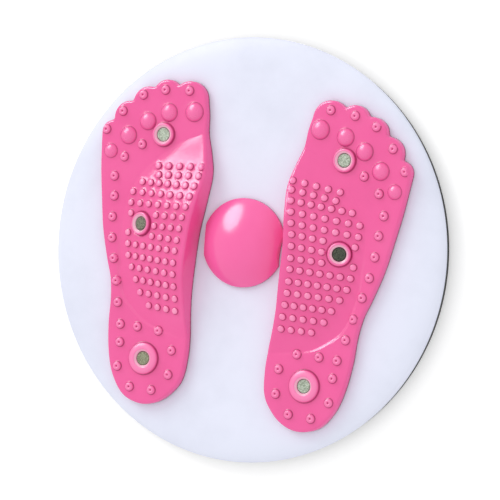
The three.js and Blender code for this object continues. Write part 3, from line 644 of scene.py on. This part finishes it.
# %% [markdown]
# The ribs and the sockets' walls run a little way into the floor and the rim, so that the Boolean modifier
# has something to join. The sockets and the pocket are cut from the whole after that, ribs and all.

# %% Ribs, sockets and pocket of the base
foot_place, foot_count, foot_steps = 118, 6, 48
foot_turns = [full_turn * (i + 0.5) / foot_count for i in range(foot_count)]
socket_radius, socket_wall, stem_radius = 11.3, 1.8, 3
base_rib_start, base_rib_width, base_ribs = 12, 2, 12
rib_top = floor_under + sunk
rib_length = rim_inner + sunk - base_rib_start
rib_size = (rib_length, base_rib_width, rib_top - base_under)
rib_middle = (base_rib_start + rib_length / 2, 0, (base_under + floor_under + sunk) / 2)
joined = [brick(rib_size, rib_middle, full_turn * i / base_ribs) for i in range(base_ribs)]
rim_reach = socket_radius + socket_wall
rim = [(0, base_under), (rim_reach, base_under), (rim_reach, rib_top), (0, rib_top)]
joined += [moved(spun(rim, foot_steps), (foot_place, 0, 0), turn) for turn in foot_turns]
tray = combined(tray, joined, "UNION")
pocket = [(0, base_under - over), (socket_radius, base_under - over), (socket_radius, floor_under),
          (stem_radius + gap, floor_under), (stem_radius + gap, floor_top + over), (0, floor_top + over)]
cuts = [moved(spun(pocket, foot_steps), (foot_place, 0, 0), turn) for turn in foot_turns]
corner = hexagon_across / 2 / math.cos(math.pi / hexagon_sides)
head_room = [(0, base_under - over), (corner, base_under - over), (corner, pocket_roof), (0, pocket_roof)]
cuts.append(spun(head_room, hexagon_sides))
tray = combined(tray, cuts, "DIFFERENCE")
finished(tray, "black_base", black_abs, "base", ["base_plate"])

# %% [markdown]
# ## Rubber feet
# Each foot is a tapered button with a barbed stem that is pulled through the floor of the base. The face
# that grips the floor has two shallow ring grooves.

# %% Feet
foot_radius, foot_taper, foot_edge = 11, 1, 0.5
foot_top = floor_under - gap
catch = floor_top + gap
groove_radii, groove_depth, groove_width, groove_slope = (3.4, 6.6), 0.5, 1.2, 0.2
sole = [(0, 0)]
for radius in groove_radii:
    far_side = radius + groove_width
    sole += [(radius, 0), (radius + groove_slope, groove_depth)]
    sole += [(far_side, groove_depth), (far_side + groove_slope, 0)]
sole += [(foot_radius - foot_taper - foot_edge, 0), (foot_radius - foot_taper, foot_edge)]
sole += [(foot_radius - foot_edge / 2, foot_top - foot_edge), (foot_radius - foot_edge, foot_top)]
sole += [(stem_radius, foot_top), (stem_radius, catch), (stem_radius + barb_reach, catch)]
sole += [(stem_radius - barb_reach, catch + barb_height), (0, catch + barb_height)]
for index, turn in enumerate(foot_turns):
    button = moved(spun(sole, foot_steps), (foot_place, 0, 0), turn)
    finished(button, f"rubber_button_{index + 1}", black_rubber, "base",
             [f"rubber_foot_{index + 1}"])

# %% [markdown]
# ## The dome
# The cap over the axle's nut stands a little nearer the toes than the axle. It has a short upright skirt,
# and a shallow hollow in each side where a pad passes it. A solid cap is spun, the hollows are cut by two
# round posts, and the edges are rounded. They are rounded while the flat bottom is away, so that it keeps
# its sharp edge, and the bottom is filled in again after.

# %% Dome
dome_top = node_box("centre_dome")[1].z
dome_radius, dome_trim, dome_wall, dome_skirt = 29.3, 26.4, 2.4, 2.4
side_radius, dome_round, corner_turn = 46, 0.8, math.radians(25)
arc_steps, dome_steps, post_steps, round_steps = 28, 128, 256, 4
dome_under = plate_top + gap
dome_rise = dome_top - dome_under - dome_skirt
sphere_radius = (dome_radius ** 2 + dome_rise ** 2) / (2 * dome_rise)


def cap_form(inset, under):
    """The solid cap, or the cap that lies as far inside its skin as the inset says."""
    ball = sphere_radius - inset
    half_angle = math.asin((dome_radius - inset) / ball)
    turns = [half_angle * i / arc_steps for i in range(arc_steps, -1, -1)]
    arc = [(ball * math.sin(turn), dome_top - sphere_radius + ball * math.cos(turn)) for turn in turns]
    section = [(0, under), (dome_radius - inset, under)] + arc
    form = moved(spun(section, dome_steps), (0, dome_forward, 0))
    reach = side_radius + inset
    post = [(0, under - over), (reach, under - over), (reach, dome_top), (0, dome_top)]
    posts = [moved(spun(post, post_steps), (side * (dome_trim + side_radius), 0, 0)) for side in (1, -1)]
    return combined(form, posts, "DIFFERENCE")


cap = cap_form(0, dome_under)
bottom = [face for face in cap.faces if all(corner.co.z < dome_under + merge_reach for corner in face.verts)]
bmesh.ops.delete(cap, geom=bottom, context="FACES")
corners = [edge for edge in cap.edges if len(edge.link_faces) == 2 and edge.calc_face_angle() > corner_turn]
bmesh.ops.bevel(cap, geom=corners, offset=dome_round, offset_type="OFFSET", segments=round_steps,
                profile=0.5, affect="EDGES", material=-1, clamp_overlap=True)
bmesh.ops.edgeloop_fill(cap, edges=[edge for edge in cap.edges if edge.is_boundary])
bmesh.ops.recalc_face_normals(cap, faces=cap.faces)
print(f"dome: {len(corners)} edges rounded, sphere radius {sphere_radius:.1f} mm")

# %% [markdown]
# The space inside is a smaller cap, as far in as the wall is thick, which the Boolean modifier cuts away.
# The legs are joined to the shell by the same modifier.

# %% Wall and legs of the dome
cap = combined(cap, [cap_form(dome_wall, dome_under - over)], "DIFFERENCE")
leg_top, leg_foot = 25, plate_under - gap - barb_height
leg_size, hook_size = ((leg_thickness, leg_width, height) for height in (leg_top - leg_foot, barb_height))
leg_middle = (leg_place, 0, (leg_top + leg_foot) / 2)
hook_middle = (leg_place + barb_reach, 0, leg_foot + barb_height / 2)
legs = []
for turn in leg_turns:
    for size, middle in ((leg_size, leg_middle), (hook_size, hook_middle)):
        legs.append(moved(brick(size, middle, turn), (0, dome_forward, 0)))
cap = combined(cap, legs, "UNION")
finished(cap, "pink_dome_cap", pink_abs, "turntable", ["centre_dome"], sharp=35)

# %% [markdown]
# ## The foot pads: outline
# The pads carry nearly everything that the photograph shows. Their outline is a foot's: a smooth line
# through a few places, as shares of the pad's width and length, and a round arc for each toe. The curve is
# a chain of Bezier spans whose handles follow the neighbouring places. It is then cut into even steps of
# about a millimetre and eased a little, so that the notches between the toes are slightly round, as the
# moulding tool left them.

# %% Outline of the right pad
inner_edge = [(0.35, 0), (0.209, 0.013), (0.098, 0.047), (0.022, 0.093), (0, 0.159), (0.005, 0.224),
              (0.032, 0.284), (0.058, 0.367), (0.067, 0.45), (0.061, 0.552), (0.03, 0.649), (0.006, 0.727),
              (0.037, 0.792), (0.078, 0.848), (0.093, 0.903), (0.117, 0.942)]
toe_crests = [(0.264, 1), (0.49, 0.995), (0.687, 0.961), (0.852, 0.906), (0.98, 0.836)]
toe_notches = [(0.38, 0.98), (0.582, 0.965), (0.759, 0.915), (0.904, 0.85)]
outer_edge = [(1, 0.804), (0.971, 0.704), (0.927, 0.607), (0.88, 0.515), (0.807, 0.423), (0.755, 0.367),
              (0.729, 0.303), (0.72, 0.229), (0.687, 0.145), (0.625, 0.075), (0.51, 0.019)]


curve_steps, toe_steps, outline_step, easings = 8, 16, 1.1, 3


def curve_through(points, before, after):
    """Points along a smooth curve through the given ones. Those before and after only steer its ends."""
    chain = [before, *points, after]
    line = []
    for a, b, c, d in zip(chain, chain[1:], chain[2:], chain[3:]):
        line += interpolate_bezier(b, b + (c - a) / 6, c - (d - b) / 6, c, curve_steps + 1)[:-1]
    return [Vector(point[:2]) for point in line]


def arc_through(start, crest, end):
    """Points along the circle from start over crest, without the end."""
    to_crest, to_end = crest - start, end - start
    twist = 2 * (to_crest.x * to_end.y - to_crest.y * to_end.x)
    centre = start + Vector((
        (to_end.y * to_crest.length_squared - to_crest.y * to_end.length_squared) / twist,
        (to_crest.x * to_end.length_squared - to_end.x * to_crest.length_squared) / twist,
    ))
    first = math.atan2(*(start - centre).yx)
    turn = (math.atan2(*(end - centre).yx) - first) % full_turn - full_turn
    return [centre + Matrix.Rotation(turn * i / toe_steps, 2) @ (start - centre) for i in range(toe_steps)]


def spaced(line, spacing):
    """Points at even distances of about this spacing along a line, from its first to its last point."""
    lengths = [(b - a).length for a, b in zip(line, line[1:])]
    count = round(sum(lengths) / spacing)
    made, walked, index = [], 0, 0
    for i in range(count):
        target = sum(lengths) * i / count
        while walked + lengths[index] < target:
            walked += lengths[index]
            index += 1
        made.append(line[index].lerp(line[index + 1], (target - walked) / lengths[index]))
    return made + line[-1:]


inner_line, outer_line = ([pad_point(shares) for shares in table] for table in (inner_edge, outer_edge))
crests, notches = ([pad_point(shares) for shares in table] for table in (toe_crests, toe_notches))
rough = curve_through(inner_line, outer_line[-1], inner_line[-1])
stops = [inner_line[-1], *notches, outer_line[0]]
for start, crest, end in zip(stops, crests, stops[1:]):
    rough += arc_through(start, crest, end)
rough += curve_through(outer_line + inner_line[:1], outer_line[0], inner_line[1])
outline = spaced(rough + rough[:1], outline_step)[:-1]
for _ in range(easings):
    outline = [(a + 2 * b + c) / 4
               for a, b, c in zip(outline[-1:] + outline, outline, outline[1:] + outline[:1])]
print(f"outline: {len(outline)} points")

# %% [markdown]
# ## The foot pads: heights
# The top is one moulded skin with everything in relief on it: an arch that rises to the inner edge, rows of
# studs, a border of nubs with a dimple each, and smooth domes behind the toes. A height for every place
# says all of that. Tables give the arch: its outer boundary and its crest along the pad, and its section
# from the inner edge to that boundary. They are read on a curve that never overshoots its rows.

# %% Tables of the arch
pad_thickness, pad_round = 6.2, 1.8
pad_top = plate_top + pad_thickness
arch_rise, arch_recess, step_reach = 11, 1.2, 1.2
arch_boundary = [(0.214, 0), (0.219, 0.061), (0.247, 0.374), (0.275, 0.495), (0.312, 0.603), (0.358, 0.663),
                 (0.413, 0.697), (0.469, 0.711), (0.515, 0.711), (0.561, 0.711), (0.617, 0.693),
                 (0.672, 0.645), (0.723, 0.555), (0.769, 0.434), (0.811, 0.302), (0.848, 0.093)]
arch_crest = [(0.219, 0), (0.247, 0.13), (0.275, 0.28), (0.312, 0.43), (0.358, 0.63), (0.413, 0.89),
              (0.469, 1), (0.515, 1), (0.561, 1), (0.617, 0.97), (0.672, 0.79), (0.723, 0.53),
              (0.769, 0.32), (0.811, 0.15), (0.848, 0)]
arch_step = [(0.214, 0), (0.247, 0.5), (0.3, 1), (0.45, 0.8), (0.6, 0), (0.848, 0)]
arch_section = [(0, 0.985), (0.06, 0.97), (0.14, 0.89), (0.38, 0.68), (0.62, 0.43), (0.86, 0.12), (1, 0)]


def read_table(table, at):
    """The value between two rows of a table, on a curve that doesn't overshoot them."""
    if at <= table[0][0]:
        return table[0][1]
    if at >= table[-1][0]:
        return table[-1][1]
    index = next(i for i in range(1, len(table)) if table[i][0] >= at)
    rows = [table[max(index - 2, 0)], table[index - 1], table[index], table[min(index + 1, len(table) - 1)]]
    slopes = [(b[1] - a[1]) / (b[0] - a[0]) if b[0] > a[0] else None for a, b in zip(rows, rows[1:])]
    width = rows[2][0] - rows[1][0]
    ends = []
    for one, other in ((slopes[0], slopes[1]), (slopes[1], slopes[2])):
        if one is None or other is None:
            ends.append(slopes[1])
        else:
            ends.append(0 if one * other <= 0 else 2 * one * other / (one + other))
    t = (at - rows[1][0]) / width
    return ((1 + 2 * t) * (1 - t) ** 2 * rows[1][1] + t * t * (3 - 2 * t) * rows[2][1]
            + width * (t * (1 - t) ** 2 * ends[0] - t * t * (1 - t) * ends[1]))


def tree_of(points):
    """A tree that finds the nearest of these flat points."""
    tree = KDTree(len(points))
    for index, point in enumerate(points):
        tree.insert(point.to_3d(), index)
    tree.balance()
    return tree


half = len(outline) // 2
inner_end_share, walk_steps, boundary_step = 0.88, 1000, 0.8
inner_end = pad_point((0, inner_end_share)).y
inner_side = sorted((point.y, point.x) for point in outline[:half] if point.y < inner_end)


def arch_at(point):
    """The arch's share of its section at a place, from 0 at the inner edge to 1 at its boundary."""
    along = (point.y - pad_heel) / pad_length
    start = read_table(inner_side, point.y)
    end = pad_inner + pad_width * read_table(arch_boundary, along)
    return along, (point.x - start) / (end - start)


low_end, high_end = arch_boundary[0][0], arch_boundary[-1][0]
walk = [low_end + (high_end - low_end) * i / walk_steps for i in range(walk_steps + 1)]
boundary = [pad_point((read_table(arch_boundary, along), along)) for along in walk]
boundary = spaced(boundary, boundary_step)
boundary_tree = tree_of(boundary)


def skin_height(point):
    """The pad's bare surface: flat, or the arch, with a small eased step down to its foot."""
    along, share = arch_at(point)
    if not low_end < along < high_end:
        return pad_top
    foot = pad_top - arch_recess * read_table(arch_step, along)
    crest = pad_top + arch_rise * read_table(arch_crest, along)
    arch = foot + (crest - foot) * read_table(arch_section, max(share, 0))
    inside = boundary_tree.find(point.to_3d())[2] * (1 if share < 1 else -1)
    t = min(max(inside / step_reach / 2 + 0.5, 0), 1)
    return pad_top + (arch - pad_top) * t * t * (3 - 2 * t)


print(f"arch: crest {pad_top + arch_rise - plate_top:.1f} mm above the plate")

# %% [markdown]
# The relief stands on that surface. Each kind has a profile of (radius, height) pairs, from its middle to
# where it runs out in a small fillet, as the tool's cutter leaves it. The rows of studs are given by their
# first and last stud.

# %% Studs, nubs and toe domes
stud_rows = [
    ((0.052, 0.746), (0.446, 0.731), 5, ()), ((0.059, 0.718), (0.425, 0.704), 5, ()),
    ((0.075, 0.686), (0.569, 0.675), 7, ()), ((0.095, 0.653), (0.644, 0.641), 7, ()),
    ((0.113, 0.62), (0.647, 0.607), 7, ()), ((0.132, 0.587), (0.633, 0.575), 7, (4, 5)),
    ((0.143, 0.552), (0.627, 0.543), 7, (4, 5, 6)), ((0.15, 0.516), (0.639, 0.515), 7, (4, 5)),
    ((0.156, 0.483), (0.627, 0.481), 7, ()), ((0.158, 0.446), (0.61, 0.446), 7, ()),
    ((0.154, 0.411), (0.564, 0.412), 6, ()), ((0.14, 0.374), (0.51, 0.376), 6, ()),
    ((0.125, 0.337), (0.458, 0.339), 5, ()), ((0.117, 0.3), (0.366, 0.303), 4, ()),
]
nub_shares = [
    (0.268, 0.97), (0.479, 0.963), (0.668, 0.939), (0.83, 0.881), (0.954, 0.819), (0.622, 0.788),
    (0.765, 0.743), (0.83, 0.68), (0.809, 0.619), (0.801, 0.555), (0.779, 0.491), (0.741, 0.429),
    (0.69, 0.362), (0.652, 0.297), (0.604, 0.232), (0.587, 0.177), (0.582, 0.103), (0.45, 0.047),
    (0.256, 0.048), (0.126, 0.103), (0.124, 0.178), (0.261, 0.231), (0.45, 0.233),
]
toe_domes = [(0.202, 0.908, 1), (0.422, 0.896, 0.93), (0.598, 0.861, 0.92), (0.753, 0.81, 0.92),
             (0.892, 0.755, 0.75)]
stud_profile = [(0, 2), (1.05, 1.96), (1.65, 1.8), (2.02, 1.38), (2.2, 0.6), (2.35, 0.12), (2.7, 0)]
nub_profile = [(0, 1.25), (0.4, 1.3), (0.65, 1.75), (0.95, 2.08), (1.6, 2.15), (2.2, 1.95), (2.7, 1.4),
               (2.95, 0.6), (3.15, 0.14), (3.6, 0)]
toe_radius, toe_height = 6.5, 3.6
relief_reach = 1.1 * toe_radius
nub_steps, stud_steps, toe_dome_steps = 20, 16, 36
toe_profile = [(0, 1), (0.2, 0.975), (0.4, 0.9), (0.58, 0.78), (0.75, 0.6), (0.88, 0.38), (0.96, 0.17),
               (1, 0.04), (1.06, 0)]

# These tones paint light and shade into the pink: a pale top is a painted highlight, and a dark ring at a
# foot or in a dimple is painted shade.
stud_tone = [(0, 1), (2, 1), (2.25, -1), (2.4, -0.8), (2.7, 0)]
nub_tone = [(0, -0.8), (0.45, -0.6), (0.7, 0.7), (2.7, 0.6), (3.1, -1), (3.25, -0.8), (3.6, 0)]
toe_tone = [(0, 0.35), (0.6, 0.25), (0.93, 0), (1, -0.8), (1.06, 0)]

relief = [(pad_point(shares), nub_profile, nub_tone, nub_steps) for shares in nub_shares]
for first, last, places, free in stud_rows:
    for i in set(range(places)) - set(free):
        spot = pad_point(first).lerp(pad_point(last), i / (places - 1))
        relief.append((spot, stud_profile, stud_tone, stud_steps))
for toe_across, toe_along, size in toe_domes:
    grown = [(toe_radius * size * radius, toe_height * size * height) for radius, height in toe_profile]
    rings = [(toe_radius * size * radius, value) for radius, value in toe_tone]
    relief.append((pad_point((toe_across, toe_along)), grown, rings, toe_dome_steps))
relief_tree = tree_of([centre for centre, *_ in relief])
outline_tree = tree_of(outline)
print(f"relief: {len(relief)} studs, nubs and domes on each pad")

# %% [markdown]
# The finished height of a place is its bare surface with the relief on it, less the round of the pad's edge
# where the outline is near. The tone of its pink comes from the same distances, so the two always agree.


# %% Height and tone of a place
def distance_to_line(point, a, b):
    """The distance from a point to the straight piece between a and b."""
    share = (point - a).dot(b - a) / (b - a).length_squared
    return (point - a.lerp(b, min(max(share, 0), 1))).length


def edge_distance(point):
    """How far inside the outline a place is."""
    _, index, _ = outline_tree.find(point.to_3d())
    ends = [outline[index - 1], outline[index], outline[(index + 1) % len(outline)]]
    return min(distance_to_line(point, a, b) for a, b in zip(ends, ends[1:]))


def relief_at(point):
    """How high the relief stands at a place, and the tone of its pink there."""
    height, tone = 0, 0
    for _, index, distance in relief_tree.find_range(point.to_3d(), relief_reach):
        _, profile, rings, _ = relief[index]
        if distance < profile[-1][0]:
            height += read_table(profile, distance)
            tone += read_table(rings, distance)
    return height, tone


def top_height(point):
    """The pad's finished top: its bare surface, the relief on it and the round of its edge."""
    height = skin_height(point) + relief_at(point)[0]
    inset = pad_round - edge_distance(point)
    return height if inset <= 0 else height - pad_round + math.sqrt(max(pad_round ** 2 - inset ** 2, 0))


highest = max(top_height(centre) for centre, *_ in relief)
print(f"relief: highest middle {highest - plate_top:.1f} mm above the plate")

# %% [markdown]
# ## The foot pads: collars
# Three raised collars hold the magnets. Each is a turned form: a rounded ring, a cone down to the magnet's
# face and a bore round it. Its place comes from the magnet's own CAD node, and the one on the arch leans
# with the arch, so these forms are placed as solids and not as heights.

# %% Collars and their places
magnet_radius, magnet_thickness, magnet_depth = 4.5, 3, 1.4
collar_height, collar_round, collar_spread = 2.8, 2, 0.85
mouth_width, collar_fillet, ring_steps, collar_steps = 1.3, 0.7, 6, 56
arch_lean = math.radians(16)
# A collar's ring is painted paler, a painted highlight, and its fillet a deeper pink, painted shade.
collar_tone = [(-6, 0.7), (-4, 0.9), (-1.6, 0.5), (-0.7, -0.8), (0, 0)]


def collar_profile(radius):
    """A collar from its fillet on the pad to the floor of its bore, as (radius, height) pairs."""
    bore, mouth = magnet_radius + gap, magnet_radius + gap + mouth_width
    face = collar_height - magnet_depth
    floor_of_bore = face - magnet_thickness - gap
    reach = collar_spread * (radius - mouth)
    foot = [(radius + collar_fillet, None), (radius + 0.2, 0.15)]
    ring = bow((radius - reach, collar_height - collar_round), reach, collar_round, ring_steps)
    lip = [(mouth + 0.5, collar_height), (mouth + 0.15, collar_height - 0.05),
           (mouth - 0.1, collar_height - 0.3)]
    well = [(bore + 0.15, face + 0.1), (bore, face), (bore, floor_of_bore),
            (bore / 2, floor_of_bore), (0, floor_of_bore)]
    return foot + ring + lip + well


collars = []
for name, radius, lean in (("ball", 8, 0), ("arch", 8, arch_lean), ("heel", 10.8, 0)):
    low, high = node_box(f"right_{name}_magnet")
    turn = Matrix.Rotation(lean, 3, "Y")
    seat = (low + high) / 2 - turn @ up * (collar_height - magnet_depth - magnet_thickness / 2)
    collars.append((seat, turn, collar_profile(radius)))
    print(f"{name} collar at {seat.x:.1f}, {seat.y:.1f}, {seat.z:.1f} mm")

# %% [markdown]
# ## The foot pads: mesh
# No fill operator puts points inside an outline, so the top is filled by Blender's own Delaunay
# triangulation. It gets points where the shape needs them: loops round the rounded edge, rings on every
# stud, nub, dome and collar, lines along the arch's step, and an open grid elsewhere. Each point then rises
# to its height.

# %% Points for the triangulation
same_point = 0.0001


class Layout:
    """Flat points and lines for the triangulation, with the real place of each point."""

    def __init__(self, height):
        self.flat, self.real, self.tones, self.lines, self.height = [], [], [], [], height

    def put(self, point, place=None, tone=0):
        self.flat.append(point)
        self.real.append(place or Vector((point.x, point.y, self.height(point))))
        self.tones.append(tone)
        return len(self.flat) - 1

    def loop(self, numbers):
        self.lines += list(zip(numbers, numbers[1:] + numbers[:1]))

    def grid(self, low, high, spacing, clear, wanted=lambda point: True):
        """Points in staggered rows, where nothing else is near."""
        tree = tree_of(self.flat)
        rows = int((high.y - low.y) / spacing)
        for row in range(rows + 1):
            for column in range(int((high.x - low.x) / spacing) + 1):
                shift = spacing / 2 * (row % 2)
                point = Vector((low.x + column * spacing + shift, low.y + row * spacing))
                if tree.find(point.to_3d())[2] > clear and wanted(point):
                    self.put(point)

    def fill(self, form):
        """Fills the outline, whose points were put first, with triangles in the bmesh given."""
        flat, _, faces, origins, _, _ = delaunay_2d_cdt(self.flat, self.lines, [], 0, same_point, True)
        layer = form.verts.layers.float.get("tone") or form.verts.layers.float.new("tone")
        corners = []
        for point, origin in zip(flat, origins):
            place = self.real[origin[0]] if origin else Vector((*point, self.height(Vector(point))))
            corners.append(form.verts.new(place))
            corners[-1][layer] = self.tones[origin[0]] if origin else 0
        made = [form.faces.new([corners[number] for number in face]) for face in faces]
        ends = {number: corner for corner, origin in zip(corners, origins) for number in origin}
        rim = {form.edges.get((ends[i], ends[(i + 1) % len(outline)])) for i in range(len(outline))}
        outside = {face for face in made if any(edge.is_boundary and edge not in rim for edge in face.edges)}
        ahead = list(outside)
        while ahead:
            for edge in ahead.pop().edges:
                if edge not in rim:
                    beyond = set(edge.link_faces) - outside
                    outside |= beyond
                    ahead += beyond
        bmesh.ops.delete(form, geom=list(outside), context="FACES")


def around(centre, radius, steps):
    """Places on a circle."""
    turns = [full_turn * i / steps for i in range(steps)]
    return [centre + radius * Vector((math.cos(turn), math.sin(turn))) for turn in turns]


inward = [Vector(((b - a).y, -(b - a).x)).normalized()
          for a, b in zip(outline[-1:] + outline[:-1], outline[1:] + outline[:1])]
print(f"ready to lay out points inside {len(inward)} outline points")

# %% [markdown]
# The outline's loops come first, because the fill starts from them. A collar is squeezed flat for the
# triangulation, each ring of its profile inside the one before, and every point keeps its real place beside
# its flat one. That is how the bore's upright wall can be part of a flat filling.

# %% Edge, collars and relief of the pad's top
edge_rings, ring_clear, highlight_reach, highlight_tone = 6, 0.35, 1.25, 1.2
middle = Vector((0, 0))
top = Layout(top_height)
for step in range(edge_rings):
    angle = math.pi / 2 * step / (edge_rings - 1)
    inset = pad_round * (1 - math.cos(angle))
    drop = pad_round * (1 - math.sin(angle))
    numbers = []
    for point, normal in zip(outline, inward):
        spot = point + normal * inset
        height = top_height(spot) if step == edge_rings - 1 else skin_height(spot) - drop
        numbers.append(top.put(spot, Vector((spot.x, spot.y, height))))
    top.loop(numbers)
# The cone and bore of each collar are painted pale, as a painted reflection, and the rest of it takes the
# collar's painted light and shade.
for seat, turn, profile in collars:
    outer = profile[0][0]
    for order, (radius, height) in enumerate(profile):
        highlit = radius < magnet_radius + gap + highlight_reach
        tone = highlight_tone if highlit else read_table(collar_tone, radius - outer)
        spread = outer * (1 - order / (len(profile) - 1))
        spots = around(seat.xy, spread, collar_steps) if spread > 0 else [seat.xy]
        reals = around(middle, radius, collar_steps) if spread > 0 else [middle]
        numbers = []
        for spot, real in zip(spots, reals):
            if height is None:
                numbers.append(top.put(spot))
            else:
                place = seat + turn @ Vector((real.x, real.y, height))
                numbers.append(top.put(spot, place, tone))
        if len(numbers) > 1:
            top.loop(numbers)
edge_points = tree_of(top.flat)
for centre, profile, _, steps in relief:
    for radius, _ in profile:
        for spot in around(centre, radius, steps) if radius > 0 else [centre]:
            if edge_points.find(spot.to_3d())[2] > ring_clear:
                top.put(spot, tone=relief_at(spot)[1])
print(f"top: {len(top.flat)} points on edges and relief")

# %% [markdown]
# The arch ends in a small step, which only comes out crisp when lines of triangles run along it. A few more
# rows follow the pad's inner edge, where the arch is highest. The step's middle lines are a little paler,
# because its rounded corner catches the light.

# %% Step and surface of the arch
edge_clear, row_clear = 0.3, 0.5
row_insets = (2.9, 3.7, 4.8, 6.2)
glint_tone, margin_share = 0.2, 0.05
taken = tree_of(top.flat)
for offset in (-step_reach, -step_reach / 2, 0, step_reach / 2, step_reach):
    last = None
    for before, here, after in zip(boundary, boundary[1:], boundary[2:]):
        tangent = (after - before).normalized()
        spot = here + Vector((tangent.y, -tangent.x)) * offset
        free = (taken.find(spot.to_3d())[2] > ring_clear
                and edge_distance(spot) > pad_round + edge_clear)
        along = (spot.y - pad_heel) / pad_length
        glint = glint_tone * read_table(arch_step, along) if abs(offset) < step_reach else 0
        number = top.put(spot, tone=glint) if free else None
        if free and last is not None:
            top.lines.append((last, number))
        last = number
for inset in row_insets:
    for point, normal in zip(outline[:half], inward[:half]):
        spot = point + normal * inset
        if low_end < arch_at(spot)[0] < high_end and taken.find(spot.to_3d())[2] > row_clear:
            top.put(spot)


def on_arch(point):
    """Whether a place is on the arch or just past its foot."""
    along, share = arch_at(point)
    return share < 1 + margin_share and low_end < along < high_end


arch_spacing, arch_clear = 1.5, 0.95
open_spacing, open_clear = 3.2, 1.9
low, high = pad_point((-margin_share, 0)), pad_point((1 + margin_share, 1 + margin_share))
top.grid(low, high, arch_spacing, arch_clear, on_arch)
top.grid(low, high, open_spacing, open_clear)
pad = bmesh.new()
top.fill(pad)
print(f"top: {len(top.flat)} points, {len(pad.faces)} faces")

# %% [markdown]
# The underside is filled the same way and follows the plate's shoulder, with the barbed pegs drawn down from
# it, and the pad's wall joins the two. Where the arch is high the wall leans outward to its foot. The wall's
# last millimetre is painted a deeper pink, as painted shade where the pad meets the plate.

# %% Underside, pegs and wall
wall_lean = 0.14
# Lines at the wall's foot, as inset, lift and tone; their tones paint shade where the pad meets the plate.
shaded_foot_lines = ((0, 1.7, 0), (0.25, 1.1, -0.8), (0.5, 0, -1))
under_spacing, under_clear = 4, 2


def seat_height(point):
    """The pad's underside, which follows the plate's face and shoulder a little above them."""
    out = (point.length - flat_radius) / shoulder_width
    fall = shoulder_drop * (1 - math.sqrt(max(1 - out * out, 0))) if out > 0 else 0
    return plate_top + gap - fall


under = Layout(seat_height)
for inset, lift, tone in shaded_foot_lines:
    numbers = []
    for index, (point, normal) in enumerate(zip(outline, inward)):
        rise = read_table(arch_crest, (point.y - pad_heel) / pad_length) if index < half else 0
        foot = point - normal * wall_lean * arch_rise * rise
        place = Vector((foot.x, foot.y, seat_height(foot) + lift))
        numbers.append(under.put(point + normal * inset, place, tone))
    under.loop(numbers)
barb_top, peg_tip = plate_under - gap, plate_under - gap - barb_height
peg_profile = [(peg_radius, None), (peg_radius, barb_top), (peg_radius + barb_reach, barb_top),
               (peg_radius - barb_reach, peg_tip), (0, peg_tip)]
for shares in peg_shares:
    centre = pad_point(shares)
    for order, (radius, height) in enumerate(peg_profile):
        spread = peg_radius * (1 - order / (len(peg_profile) - 1))
        spots = around(centre, spread, peg_steps) if spread > 0 else [centre]
        reals = around(centre, radius, peg_steps) if spread > 0 else [centre]
        numbers = [under.put(spot, None if height is None else Vector((real.x, real.y, height)))
                   for spot, real in zip(spots, reals)]
        if len(numbers) > 1:
            under.loop(numbers)
under.grid(low, high, under_spacing, under_clear)
under.fill(pad)
open_edges = [edge for edge in pad.edges if edge.is_boundary]
bmesh.ops.bridge_loops(pad, edges=open_edges)
bmesh.ops.recalc_face_normals(pad, faces=pad.faces)
print(f"pad: {len(open_edges)} edges bridged, open edges left: {sum(edge.is_boundary for edge in pad.edges)}")

# %% [markdown]
# The left pad is the mirror image of the right one. Mirroring turns a shape inside out, so its faces are
# turned round again.

# %% Both pads
crease_angle = 50
left = pad.copy()
bmesh.ops.scale(left, vec=Vector((-1, 1, 1)), verts=left.verts)
bmesh.ops.recalc_face_normals(left, faces=left.faces)
for name, form in (("right", pad), ("left", left)):
    finished(form, f"{name}_massage_pad", pink_rubber, "turntable", [f"{name}_foot_pad"],
             sharp=crease_angle)

# %% [markdown]
# ## Magnets
# Small turned discs with a narrow chamfer, each in its collar.

# %% Magnets
looks = {"right_ball": pale_magnet, "right_arch": dark_magnet, "right_heel": pale_magnet,
         "left_ball": pale_magnet, "left_arch": dull_magnet, "left_heel": grey_magnet}
bevel_size, magnet_steps = 0.35, 64
face = magnet_thickness / 2
section = [(0, -face), (magnet_radius - bevel_size, -face), (magnet_radius, bevel_size - face),
           (magnet_radius, face - bevel_size), (magnet_radius - bevel_size, face), (0, face)]
for name, material in looks.items():
    side = 1 if name.startswith("right") else -1
    low, high = node_box(f"{name}_magnet")
    disc = spun(section, magnet_steps)
    lean = side * arch_lean if "arch" in name else 0
    bmesh.ops.rotate(disc, cent=(0, 0, 0), matrix=Matrix.Rotation(lean, 3, "Y"), verts=disc.verts)
    bmesh.ops.translate(disc, vec=(low + high) / 2, verts=disc.verts)
    finished(disc, f"{name}_disc", material, "turntable", [f"{name}_magnet"])
